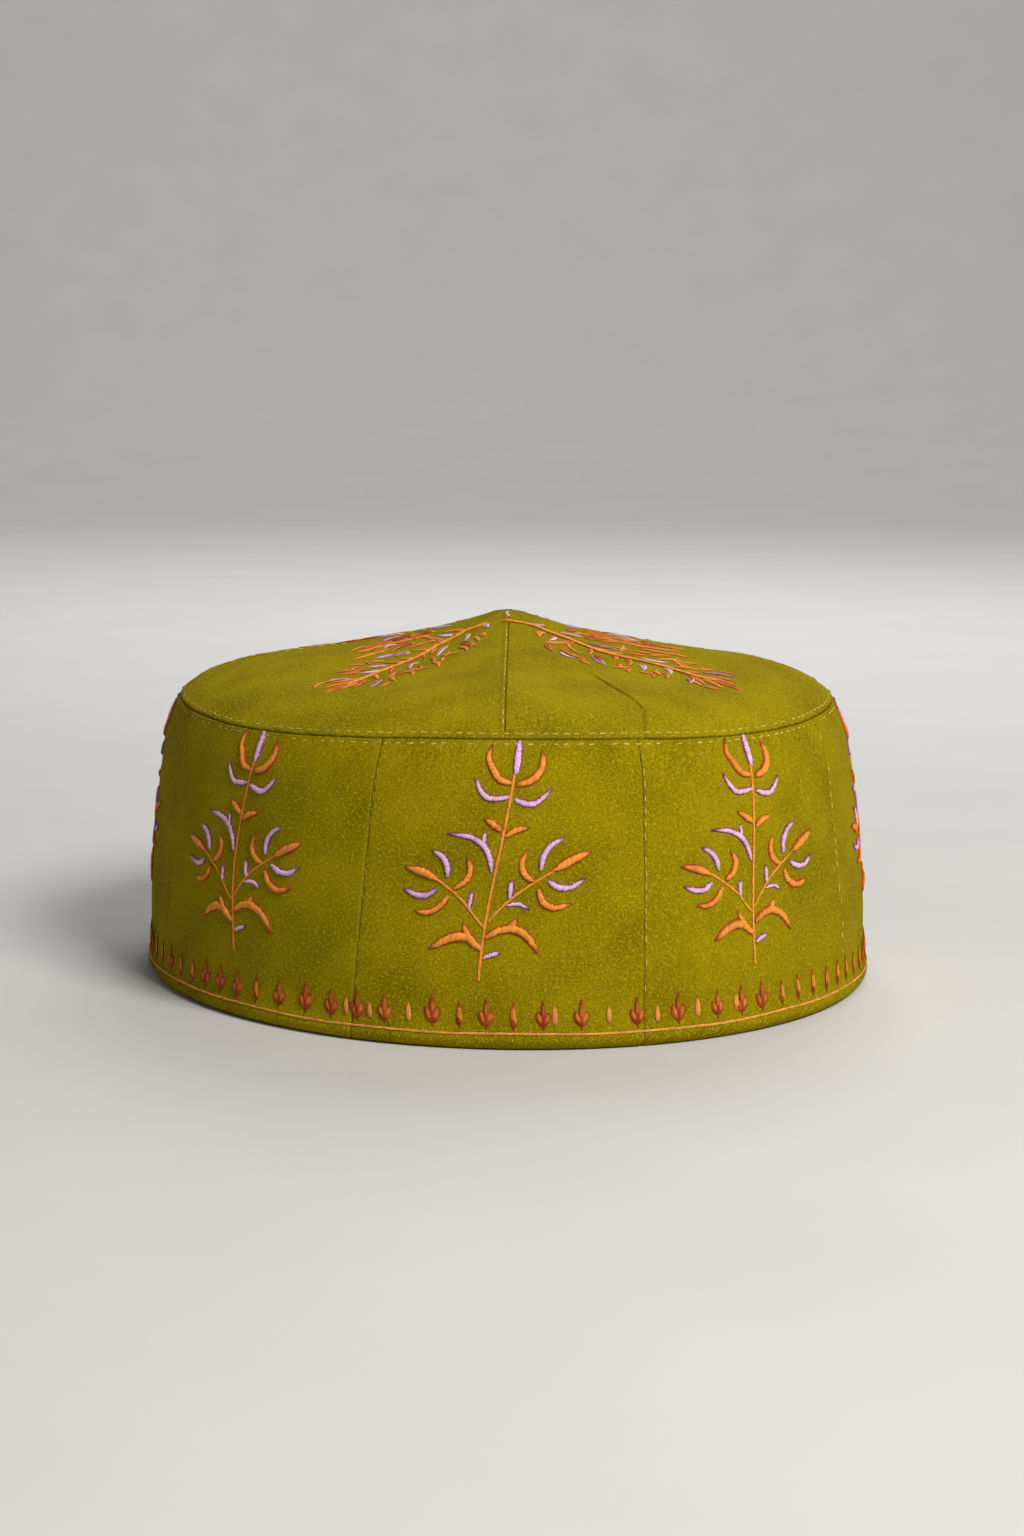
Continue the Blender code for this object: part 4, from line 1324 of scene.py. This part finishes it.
def cloth_piece(form, name, ways, left_at, right_at, colours, fine=()):
    """A cut piece of cloth between two seams, which are given as functions of the plain outline's height.

    fine: shares of the piece's width that need a column of their own.
    """
    heights = np.interp(ways, form.ways, form.line[:, 1])
    radii = np.interp(ways, form.ways, form.line[:, 0])
    left, right = left_at(heights), right_at(heights)
    widest = radii.max() * np.radians(right[radii.argmax()] - left[radii.argmax()])
    shares = np.union1d(graded(widest, EDGE_STEPS, EDGE_STEPS) / widest, fine)
    inset = np.degrees(EDGE_CLEARANCE / np.maximum(radii, TIP_RADIUS))
    turns = (left + inset)[:, None] + shares * (right - left - 2 * inset)[:, None]
    grid_ways, grid_radii, grid_heights = (
        np.broadcast_to(values[:, None], turns.shape) for values in (ways, radii, heights)
    )
    depth = form.thickness(ways)[:, None]
    points = np.stack([form.point(turns, grid_ways), form.point(turns, grid_ways, depth=depth)])
    held_in = np.maximum(radii, GRAIN_LEAST_RADIUS * radii.max())
    around = np.radians(turns - (left + right)[:, None] / 2) * held_in[:, None]
    layer = np.full(turns.shape, LAYER_STEP * (1 + sum(map(ord, name)) % LAYERS))
    grain = np.stack([around / MM, grid_ways / MM, layer], axis=-1).reshape(-1, 3)
    # The shade painted into the seams and the crease, and the strain that raises fine folds beside the seams
    shade_and_strain = seam_shade_and_strain(form, turns, grid_ways, grid_radii, grid_heights)
    seam, strain = (np.tile(values.ravel(), 2) for values in shade_and_strain)
    faces, outer_faces = shell_faces(*turns.shape)
    order = np.arange(len(faces)) // outer_faces
    piece = new_piece(
        name,
        points,
        faces,
        cloth_materials(colours),
        {"grain": np.tile(grain, (2, 1)), "seam": seam, "strain": strain},
        (order == 1).astype(int),
    )
    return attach(piece, BODY)


class Needlework:
    """Stitches gathered on a chart of flat cloth, in millimetres, before they are laid on the cap."""

    def __init__(self, needle, seed):
        self.needle = needle
        self.chance = np.random.default_rng(seed)
        self.points = []
        self.faces = []
        self.rims = []
        self.tints = []
        self.total = 0

    def add(self, points, faces, rims, tints):
        """Gather points with their lifts, faces, rim shares and tints."""
        self.points.append(points)
        self.faces.append(faces + self.total)
        self.rims.append(rims)
        self.tints.append(tints)
        self.total += len(points)

    def tubes(self, rings, ends, rims, end_rims, tints):
        """Closed tubes: rings has a row of rings for each tube, and ends its two points, all with lifts."""
        count, length, sides = rings.shape[:3]
        body = np.arange(length * sides).reshape(length, sides)
        turned = np.roll(body, -1, axis=1)
        first, last = length * sides, length * sides + 1
        faces = np.concatenate([
            np.stack([body[:-1], turned[:-1], turned[1:]], axis=-1).reshape(-1, 3),
            np.stack([body[:-1], turned[1:], body[1:]], axis=-1).reshape(-1, 3),
            np.stack([turned[0], body[0], np.full(sides, first)], axis=-1),
            np.stack([body[-1], turned[-1], np.full(sides, last)], axis=-1),
        ])
        size = length * sides + 2
        points = np.concatenate([rings.reshape(count, -1, 3), ends], axis=1).reshape(-1, 3)
        shifted = (faces[None] + np.arange(count)[:, None, None] * size).reshape(-1, 3)
        ring_rims = np.repeat(rims, sides, axis=1)
        self.add(
            points,
            shifted,
            np.concatenate([ring_rims, end_rims], axis=1).ravel(),
            np.repeat(tints, size),
        )

    def stitches(
        self, starts, ends, width, rise, base=0.02, bow=0.0, narrow=0.0, rim=0.0, end_rim=0.0, petal=False
    ):
        """Stitches from starts to ends. rise: height of the middle over the base. bow: how far to its left.

        narrow: share of the width that it loses from its start to its end. A petal has more rings.
        """
        starts, ends = np.atleast_2d(starts), np.atleast_2d(ends)
        count = len(starts)
        width, rise, base, bow, rim, end_rim = (
            np.broadcast_to(np.asarray(value, float), count)
            for value in (width, rise, base, bow, rim, end_rim)
        )
        rings, sides = (PETAL_RINGS, PETAL_SIDES) if petal else (STITCH_RINGS, STITCH_SIDES)
        flatness = PETAL_FLATNESS if petal else STITCH_FLATNESS
        at, fullness, lift = (column(rings, name) for name in ("at", "fullness", "lift"))
        fullness = fullness * (1.0 - narrow * (at + 1.0) / 2)
        along = (ends - starts) / 2
        left = np.stack([-along[:, 1], along[:, 0]], axis=1)
        left /= np.maximum(np.linalg.norm(left, axis=1, keepdims=True), 1e-6)
        middle = (starts + ends) / 2
        centre = middle[:, None] + along[:, None] * at[None, :, None]
        centre = centre + left[:, None] * (bow[:, None] * (1.0 - at**2))[..., None]
        height = base[:, None] + rise[:, None] * lift
        angles = math.tau * (np.arange(sides) + 0.25 * sides) / sides
        half = width[:, None] / 2 * fullness
        flat = centre[:, :, None] + left[:, None, None] * (half[..., None] * np.cos(angles))[..., None]
        lifts = height[..., None] + flatness * half[..., None] * np.sin(angles)
        rings = np.concatenate([flat, lifts[..., None]], axis=-1)
        sunk = np.broadcast_to(np.array(base)[:, None] - STITCH_SINK, (count, 2))
        tips = np.concatenate([np.stack([starts, ends], axis=1), sunk[..., None]], axis=-1)
        # Each stitch darkens towards its ends by end_rim, a painted shade where it sinks into the cloth
        rims = rim[:, None] + end_rim[:, None] * np.abs(at) ** 6
        tints = self.chance.uniform(-1.0, 1.0, count)
        self.tubes(rings, tips, rims, np.stack([rim + end_rim] * 2, axis=1), tints)

    def leaf(self, points, width, shape):
        """A padded leaf: satin stitches slanting across it, over a low body that shows as its darker rim."""
        needle = self.needle
        length = lengths_along(smooth_line(points, 24))[-1]
        count = max(5, round(length / needle.spacing))
        line = smooth_line(points, count)
        along = np.gradient(line, axis=0)
        along /= np.linalg.norm(along, axis=1, keepdims=True)
        left = np.stack([-along[:, 1], along[:, 0]], axis=1)
        share = np.linspace(0.0, 1.0, count)
        half = width / 2 * np.interp(share, shape["along"], shape["width"])
        lean = math.cos(needle.slant) * left + math.sin(needle.slant) * along
        ragged = self.chance.normal(0.0, LEAF_RAGGED, (2, count, 1))
        starts = line - lean * (half[:, None] + ragged[0])
        ends = line + lean * (half[:, None] + ragged[1])
        rise = needle.padding * half + LEAF_LEAST_RISE
        tip = smooth_step(share, LEAF_TIP_FROM, 1.0) + 0.35 * smooth_step(-share, -LEAF_FOOT_TO, 0.0)
        dark = self.chance.uniform(-0.20, 0.10) + 0.10 * np.cos(self.chance.uniform(0.0, 6.0) + 4.0 * share)
        self.stitches(starts, ends, needle.thread, rise, rim=0.9 * tip + dark, end_rim=0.8)
        # The body shows round the stitches in the rim colour: partly an outline, partly painted shade round
        # the leaf
        self.padding(line, left, half, rise)

    def long_leaf(self, points, width):
        """A narrow leaf in long stitches: two pale ones over a dark one, bowed as its three points are."""
        foot, middle, tip = np.array(points, float)
        along = tip - foot
        left = np.array([-along[1], along[0]]) / np.linalg.norm(along)
        bow = (middle - (foot + tip) / 2) @ left
        dark = self.chance.uniform(-0.25, 0.25)
        for row in LONG_STITCHES:
            self.stitches(
                foot + row["foot"] * width * left,
                tip + row["tip"] * width * left,
                row["width"] * width,
                row["rise"],
                bow=bow,
                narrow=0.45,
                rim=row["rim"] + dark,
                end_rim=0.25,
                petal=True,
            )

    def padding(self, line, left, half, rise):
        """The low body under a leaf's stitches, a little wider than they are."""
        keep = np.unique(np.linspace(0, len(line) - 1, max(4, len(line) // 2)).round().astype(int))
        line, left, half, rise = line[keep], left[keep], half[keep], rise[keep]
        angles = math.tau * np.arange(PETAL_SIDES) / PETAL_SIDES
        wide = (half + LEAF_BODY_MARGIN)[:, None] * np.cos(angles)
        flat = line[:, None] + left[:, None] * wide[..., None]
        lifts = -LEAF_BODY_SINK + (0.80 * rise + 0.05)[:, None] * np.sin(angles)
        rings = np.concatenate([flat, lifts[..., None]], axis=-1)[None]
        beyond = np.stack([line[0] - (line[1] - line[0]) * 0.3, line[-1] + (line[-1] - line[-2]) * 0.5])
        ends = np.concatenate([beyond, np.full((2, 1), -0.05)], axis=1)[None]
        # All in the rim colour: partly an outline, partly painted shade round the leaf
        rims = np.ones((1, len(line)))
        self.tubes(rings, ends, rims, np.ones((1, 2)), np.zeros(1))

    def stem(self, points, width, proud=False, reach=STEM_REACH, rim=0.0):
        """A line of stem stitch: each leans over the one before it, as in a rope. proud: over the leaves."""
        length = lengths_along(smooth_line(points, 60))[-1]
        count = max(2, round(length / STEM_STEP))
        fine = smooth_line(points, 8 * count)
        lengths = lengths_along(fine)
        first = np.linspace(-0.4 * reach, length - 0.6 * reach, count)
        spans = [np.clip(first + share * reach, 0.0, length) for share in (0.0, 1.0)]
        ends = [np.stack([np.interp(span, lengths, axis) for axis in fine.T], axis=1) for span in spans]
        along = ends[1] - ends[0]
        along /= np.maximum(np.linalg.norm(along, axis=1, keepdims=True), 1e-6)
        left = np.stack([-along[:, 1], along[:, 0]], axis=1) * STEM_LEAN * width
        wander = self.chance.normal(0.0, STEM_WANDER, (count, 1)) * left / (STEM_LEAN * width)
        rise = 0.30 if proud else 0.16
        self.stitches(ends[0] - left + wander, ends[1] + left + wander, width, rise, rim=rim, end_rim=0.35)

    def lay(self, name, form, place, material):
        """The stitches as one piece on the cap. place turns chart points into turns and ways."""
        points = np.concatenate(self.points) * MM
        turn, way = place(points[:, 0], points[:, 1])
        return new_piece(
            name,
            form.point(turn, way, lift=points[:, 2]),
            np.concatenate(self.faces),
            (material,),
            {"rim": np.concatenate(self.rims), "tint": np.concatenate(self.tints)},
        )


def on_piece(piece, carrier):
    """Needlework goes with the cloth that it is worked on."""
    if carrier not in bpy.data.objects:
        raise RuntimeError(f"{carrier} isn't sewn yet, so {piece.name} has nothing to lie on")
    piece.parent = bpy.data.objects[carrier]


def cloth_name(node):
    """The name of the cloth that stands for a node."""
    return f"{node}_cloth"


def band_chart(form, row):
    """Where a chart of the band's spray lies on the cap. The chart is sheared with the leaning stem."""

    def place(right, up):
        height = np.minimum(SPRAY_BASE * MM + up, form.sizes.band_height + 0.0005)
        share = (height - SPRAY_BASE * MM) / ((SPRAY_TOP - SPRAY_BASE) * MM)
        turn = row["foot"] + (row["top"] - row["foot"]) * share + np.degrees(right / form.radius_at(height))
        return turn, np.minimum(form.way_at(turn, height), form.seam_way - 0.0003)

    return place


def bent(points, row):
    """A chart's points with the bow, the drop and the spread of one of the sprays."""
    right, up = np.array(points, float).T
    bow = row["bow"] * np.sin(math.pi * np.clip((up - BOW_FROM) / BOW_LENGTH, 0.0, 1.0))
    spread = row["spread"] * smooth_step(right, *SPREAD_FROM) * smooth_step(up, *SPREAD_UP)
    return np.stack([right + bow + spread, up - row["drop"] * smooth_step(up, *DROP_UP)], axis=1)


def crown_chart(form, middle, stem=None):
    """Where a chart of the crown lies: distance out along a turn, and offset from a stem or that turn."""
    stem = None if stem is None else np.array(stem, float) * MM

    def place(out, aside):
        if stem is not None:
            aside = aside + np.interp(out, stem[:, 0], stem[:, 1])
        turn = middle + np.degrees(np.arctan2(aside, out))
        return turn, form.crown_way(np.hypot(out, aside))

    return place


def round_chart(form, way_at, radius):
    """Where a chart that runs round the cap lies."""

    def place(right, up):
        turn = np.degrees(right / radius)
        return turn, way_at(turn, up)

    return place


class SKULLCAP_OT_band_panels(bpy.types.Operator):
    """Sew the eight panels of the upright band, with their turned-up hem"""

    bl_idname = "skullcap.band_panels"
    bl_label = "Band panels"

    def execute(self, context):
        form = CapForm(context.scene.skullcap_sizes)
        length = form.seam_way - EDGE_CLEARANCE
        ways = graded(length, HEM_STEPS, EDGE_STEPS)
        inner_step = form.way_at(90.0, form.sizes.hem_top) + np.array([-0.4, 0.0, 0.25, 0.5]) * MM
        ways = np.unique(np.concatenate([ways, inner_step]))
        for index, row in enumerate(BAND_PANELS):
            piece = cloth_piece(
                form,
                cloth_name(row["panel"]),
                ways,
                lambda height, at=index: form.panel_seam(at, height),
                lambda height, at=index: form.panel_seam(at + 1, height),
                context.scene.skullcap_colours,
            )
            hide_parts(row["panel"])
        return {"FINISHED"}


class SKULLCAP_OT_crown_gores(bpy.types.Operator):
    """Sew the four gores of the crown"""

    bl_idname = "skullcap.crown_gores"
    bl_label = "Crown gores"

    def execute(self, context):
        form = CapForm(context.scene.skullcap_sizes)
        start = form.seam_way + EDGE_CLEARANCE
        ways = start + graded(form.tip_way - start, EDGE_STEPS, EDGE_STEPS[-2:])
        step = FULL_TURN / GORE_COUNT
        for index in range(GORE_COUNT):
            node = f"crown_gore_{index + 1}"
            left = GORE_TURN + index * step
            piece = cloth_piece(
                form,
                cloth_name(node),
                ways,
                lambda height, turn=left: np.full(height.shape, turn),
                lambda height, turn=left + step: np.full(height.shape, turn),
                context.scene.skullcap_colours,
                (np.arange(*CREASE_TURNS) - GORE_TURN) / step if index == 0 else (),
            )
            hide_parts(node)
        return {"FINISHED"}


def work_spray(form, needle, leaves, stems, name, carrier, place, materials, seed, long=False):
    """A spray as an orange piece with the stems and a lilac one. long: in long stitches, not in satin."""
    for thread in ("orange", "lilac"):
        work = Needlework(needle, seed + len(thread))
        for row in leaves:
            if row["thread"] == thread and long:
                work.long_leaf(row["line"], CROWN_FULLNESS * row["width"])
            elif row["thread"] == thread:
                shape = LEAF_SHAPES[row.get("shape", "leaf")]
                work.leaf(row["line"], BAND_FULLNESS[thread] * row["width"], shape)
        if thread == "orange":
            for index, stem in enumerate(stems):
                width = needle.crown_stem if long else needle.stem * (1.0 if index == 0 else BRANCH_SHARE)
                work.stem(stem, width, long)
        material = materials["pale_lilac" if long and thread == "lilac" else thread]
        piece = work.lay(f"{name}_{thread}", form, place, material)
        on_piece(piece, carrier)


class SKULLCAP_OT_band_sprays(bpy.types.Operator):
    """Work a spray in satin stitch on each panel"""

    bl_idname = "skullcap.band_sprays"
    bl_label = "Band sprays"

    def execute(self, context):
        form = CapForm(context.scene.skullcap_sizes)
        materials = threads(context.scene.skullcap_colours)
        for index, row in enumerate(BAND_SPRAYS):
            leaves = [{**leaf, "line": bent(leaf["line"], row)} for leaf in BAND_LEAVES]
            stems = [bent(stem, row) for stem in BAND_STEMS]
            name = row["panel"].replace("band_panel", "band_spray")
            work_spray(
                form,
                context.scene.skullcap_needle,
                leaves,
                stems,
                name,
                cloth_name(row["panel"]),
                band_chart(form, row),
                materials,
                SEEDS["band_sprays"] + 10 * index,
            )
        return {"FINISHED"}


class SKULLCAP_OT_crown_sprays(bpy.types.Operator):
    """Work a spray in long stitches on each gore"""

    bl_idname = "skullcap.crown_sprays"
    bl_label = "Crown sprays"

    def execute(self, context):
        form = CapForm(context.scene.skullcap_sizes)
        materials = threads(context.scene.skullcap_colours)
        for row in CROWN_SPRAYS:
            node = f"crown_gore_{row['gore']}"
            middle = GORE_TURN + (row["gore"] - 0.5) * FULL_TURN / GORE_COUNT
            stem = [(out, 0.0) for out, _ in row["stem"]]
            aside = [
                {**leaf, "line": [(out, row["side"] * away) for out, away in leaf["line"]]}
                for leaf in CROWN_SIDE_LEAVES
            ]
            work_spray(
                form,
                context.scene.skullcap_needle,
                [*CROWN_LEAVES, *aside],
                [stem],
                f"crown_spray_{row['gore']}",
                cloth_name(node),
                crown_chart(form, middle, row["stem"]),
                materials,
                SEEDS["crown_sprays"] + 10 * row["gore"],
                long=True,
            )
        return {"FINISHED"}


def border_buds():
    """Each bud of the border as a turn and a kind: the front's own, and the rest at an even spacing."""
    front = [(turn, "trefoil") for turn in TREFOIL_TURNS]
    front += [(turn, "bud") for turn in BUD_TURNS]
    front += [(turn, "seed") for turn in SEED_TURNS]
    start, end = BORDER_GAP
    count = round((end - start) / BORDER_SPACING) + 1
    turns = np.linspace(start, end, count)
    return front + [(turn, BORDER_ORDER[index % len(BORDER_ORDER)]) for index, turn in enumerate(turns)]


class SKULLCAP_OT_hem_border(bpy.types.Operator):
    """Work the row of buds over the hem, and the line under it"""

    bl_idname = "skullcap.hem_border"
    bl_label = "Hem border"

    @staticmethod
    def work_bud(work, right, strokes):
        """One bud of the border, by its strokes."""
        middle = np.array([right, work.chance.normal(0.0, BUD_WANDER)])
        size = work.chance.uniform(*BUD_SIZES)
        for row in strokes:
            work.stitches(
                middle + size * np.array(row["foot"]),
                middle + size * np.array(row["tip"]),
                size * row["width"],
                row["rise"],
                bow=size * row["bow"],
                narrow=row["narrow"],
                rim=row["rim"],
                end_rim=0.3,
                petal=True,
            )

    def execute(self, context):
        form = CapForm(context.scene.skullcap_sizes)
        needle = context.scene.skullcap_needle
        materials = threads(context.scene.skullcap_colours)
        radius = form.sizes.hem_radius
        place = round_chart(form, lambda turn, up: form.way_at(turn, needle.bud_height + up), radius)
        for name, kinds, thread in (
            ("hem_border_buds", ("trefoil", "bud"), "orange"),
            ("hem_border_seeds", ("seed",), "line"),
        ):
            work = Needlework(needle, SEEDS["border"] + len(kinds))
            for turn, kind in border_buds():
                if kind in kinds:
                    self.work_bud(work, math.radians(turn) * radius / MM, BORDER_KINDS[kind])
            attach(work.lay(name, form, place, materials[thread]), BODY)
        line = Needlework(needle, SEEDS["line"])
        turns = np.linspace(-FULL_TURN / 2, FULL_TURN / 2 + LINE_OVERLAP, 362)
        wander = sum(row["height"] * np.cos(np.radians(row["waves"] * turns)) for row in LINE_WANDER)
        around = np.radians(turns) * radius / MM
        line.stem(np.stack([around, wander], axis=1), **COUCHED_LINE)
        place = round_chart(form, lambda turn, up: form.way_at(turn, needle.line_height + up), radius)
        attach(line.lay("hem_couched_line", form, place, materials["line"]), BODY)
        return {"FINISHED"}


def dashes(work, start, end, pitch, length, width, skip, sink, across=False):
    """A row of running stitches on a chart, along its first axis, or its second if across."""
    count = max(1, round((end - start) / pitch))
    at = np.linspace(start, end, count, endpoint=False) + work.chance.uniform(0.0, 0.25 * pitch, count)
    kept = work.chance.uniform(0.0, 1.0, count) >= skip
    at, count = at[kept], int(kept.sum())
    long = length * work.chance.uniform(0.75, 1.15, count)
    off = work.chance.normal(0.0, 0.06, (2, count))
    starts, ends = np.stack([at, off[0]], axis=1), np.stack([at + long, off[1]], axis=1)
    if across:
        starts, ends = starts[:, ::-1], ends[:, ::-1]
    depth = work.chance.uniform(0.0, sink + 1e-9, count)
    work.stitches(starts, ends, width, 0.12, base=0.03 - depth)


class SKULLCAP_OT_topstitching(bpy.types.Operator):
    """Sew the running stitches beside the crown's seam and along the other seams"""

    bl_idname = "skullcap.topstitching"
    bl_label = "Topstitching"

    def execute(self, context):
        form = CapForm(context.scene.skullcap_sizes)
        needle = context.scene.skullcap_needle
        materials = threads(context.scene.skullcap_colours)
        pale = materials["pale"]
        radius = form.sizes.seam_radius
        round_mm = math.tau * radius / MM
        for side, offset in (("crown", needle.topstitch), ("band", -BAND_TOPSTITCH_SHARE * needle.topstitch)):
            name = f"{side}_topstitches"
            work = Needlework(needle, SEEDS["topstitches"] + len(name))
            dashes(work, 0.0, round_mm, **RUNNING_STITCHES[side])
            place = round_chart(form, lambda turn, up, off=offset: form.seam_way + off + up, radius)
            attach(work.lay(name, form, place, pale), BODY)
        low, high = PANEL_STITCHES_FROM, form.sizes.band_height / MM - STITCHES_SHORT_OF_RIM
        for index, row in enumerate(BAND_PANELS):
            work = Needlework(needle, SEEDS["panel_seams"] + index)
            kind = "front_panel" if index in (0, 1) else "panel"
            dashes(work, low, high, across=True, **RUNNING_STITCHES[kind])

            def place(right, up, at=index):
                beside = right + PANEL_STITCHES_OFF_SEAM
                turn = form.panel_seam(at, up) + np.degrees(beside / form.radius_at(up))
                return turn, form.way_at(turn, up)

            name = row["panel"].replace("band_panel", "panel_seam_stitches")
            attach(work.lay(name, form, place, pale), BODY)
        for index in range(GORE_COUNT):
            work = Needlework(needle, SEEDS["gore_seams"] + index)
            dashes(work, GORE_STITCHES_FROM, radius / MM - STITCHES_SHORT_OF_RIM, **RUNNING_STITCHES["gore"])
            chart = crown_chart(form, GORE_TURN + index * FULL_TURN / GORE_COUNT)

            def place(out, aside, chart=chart):
                return chart(out, aside - GORE_STITCHES_OFF_SEAM)

            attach(work.lay(f"gore_seam_stitches_{index + 1}", form, place, pale), BODY)
        tacks = Needlework(needle, SEEDS["tacks"])
        for out, aside in TIP_TACKS:
            end = (out + TACK["out"], aside + TACK["aside"])
            tacks.stitches((out, aside), end, TACK["width"], TACK["rise"], narrow=TACK["narrow"], petal=True)
        chart = crown_chart(form, GORE_TURN)
        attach(tacks.lay("crown_tip_tacks", form, chart, materials["pale_lilac"]), BODY)
        return {"FINISHED"}


def area_light(name, place, aim, size, power, colour):
    """A soft square light at a place, turned towards a point."""
    data = bpy.data.lights.new(name, "AREA")
    data.shape = "SQUARE"
    data.size = size
    data.energy = power
    data.color = colour
    light = bpy.data.objects.new(name, data)
    light.location = place
    light.rotation_euler = (Vector(aim) - Vector(place)).to_track_quat("-Z", "Y").to_euler()
    bpy.context.scene.collection.objects.link(light)


def floor_material(colour):
    """Plain pale card with a faint mottle."""
    material, shader = new_material("pale_floor", 0.8, 0.2)
    tree = material.node_tree
    place = add_node(tree, "ShaderNodeTexCoord").outputs["Object"]
    shade = add_range(tree, add_noise(tree, place, 14.0, 5.0)["Fac"], 0.2, 0.8)
    paler = colour_of((1.0 + FLOOR_MOTTLE) * part for part in colour)
    darker = colour_of((1.0 - FLOOR_MOTTLE) * part for part in colour)
    tree.links.new(add_mix(tree, shade, darker, paler), shader.inputs["Base Color"])
    return material


def floor_bowl(colour):
    """A level floor that sweeps up into a low round wall, all in one pale card."""
    angles = np.linspace(0.0, math.pi / 2, SWEEP_RINGS + 1)
    radii = np.concatenate([FLOOR_RINGS, FLOOR_RADIUS + SWEEP * np.sin(angles)])
    heights = np.concatenate([np.zeros(len(FLOOR_RINGS)), SWEEP * (1.0 - np.cos(angles))])
    turns = np.linspace(0.0, math.tau, FLOOR_SIDES, endpoint=False)
    pairs = ((radii, np.cos(turns)), (radii, np.sin(turns)), (heights, np.ones(FLOOR_SIDES)))
    rings = np.stack([np.outer(*pair) for pair in pairs], axis=-1)
    index = np.arange(len(radii) * FLOOR_SIDES).reshape(len(radii), FLOOR_SIDES)
    turned = np.roll(index, -1, axis=1)
    quads = np.stack([index[:-1], index[1:], turned[1:], turned[:-1]], axis=-1).reshape(-1, 4)
    mesh = bpy.data.meshes.new("floor")
    mesh.from_pydata(rings.reshape(-1, 3), [], [tuple(index[0])] + [tuple(quad) for quad in quads])
    mesh.shade_smooth()
    mesh.materials.append(floor_material(colour))
    return bpy.data.objects.new("floor", mesh)


class SKULLCAP_OT_stage(bpy.types.Operator):
    """Set out the floor, the lights and the camera"""

    bl_idname = "skullcap.stage"
    bl_label = "Stage"

    def execute(self, context):
        stage = context.scene.skullcap_stage
        floor = floor_bowl(stage.floor)
        bpy.context.scene.collection.objects.link(floor)
        for row in LIGHTS:
            area_light(**row)
        world = bpy.data.worlds.new("pale_room")
        world.use_nodes = True
        world.node_tree.nodes["Background"].inputs["Color"].default_value = ROOM_COLOUR
        world.node_tree.nodes["Background"].inputs["Strength"].default_value = ROOM_STRENGTH
        context.scene.world = world
        context.scene.view_settings.view_transform = "Standard"
        data = bpy.data.cameras.new("camera")
        data.lens = stage.lens
        data.clip_start = 0.01
        camera = bpy.data.objects.new("camera", data)
        camera.location = (0.0, -stage.camera_back, stage.camera_height)
        camera.rotation_euler = (math.pi / 2 - stage.camera_down, 0.0, -stage.camera_right)
        context.scene.collection.objects.link(camera)
        context.scene.camera = camera
        return {"FINISHED"}


class SKULLCAP_PT_sewing(bpy.types.Panel):
    """The cap's steps, in the order that they are sewn"""

    bl_idname = "SKULLCAP_PT_sewing"
    bl_label = "Embroidered skullcap"
    bl_space_type = "VIEW_3D"
    bl_region_type = "UI"
    bl_category = "Skullcap"

    def draw(self, context):
        for operator in OPERATORS:
            self.layout.operator(operator.bl_idname)
        for name in PROPERTY_GROUPS:
            box = self.layout.box()
            for prop in getattr(context.scene, name).bl_rna.properties:
                if prop.identifier not in ("name", "rna_type"):
                    box.prop(getattr(context.scene, name), prop.identifier)


OPERATORS = (
    SKULLCAP_OT_band_panels,
    SKULLCAP_OT_crown_gores,
    SKULLCAP_OT_band_sprays,
    SKULLCAP_OT_crown_sprays,
    SKULLCAP_OT_hem_border,
    SKULLCAP_OT_topstitching,
    SKULLCAP_OT_stage,
)
PROPERTY_GROUPS = {
    "skullcap_sizes": CapSizes,
    "skullcap_needle": NeedleSizes,
    "skullcap_colours": CapColours,
    "skullcap_stage": StageSizes,
}


def register():
    """Register the property groups, the operators and the panel."""
    for name, group in PROPERTY_GROUPS.items():
        bpy.utils.register_class(group)
        setattr(bpy.types.Scene, name, bpy.props.PointerProperty(type=group))
    for kind in OPERATORS + (SKULLCAP_PT_sewing,):
        bpy.utils.register_class(kind)


def unregister():
    """Take back what register did."""
    for kind in reversed(OPERATORS + (SKULLCAP_PT_sewing,)):
        bpy.utils.unregister_class(kind)
    for name, group in reversed(PROPERTY_GROUPS.items()):
        delattr(bpy.types.Scene, name)
        bpy.utils.unregister_class(group)


def main():
    """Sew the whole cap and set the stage."""
    register()
    for operator in OPERATORS:
        group, name = operator.bl_idname.split(".")
        getattr(getattr(bpy.ops, group), name)()


if __name__ == "__main__":
    main()
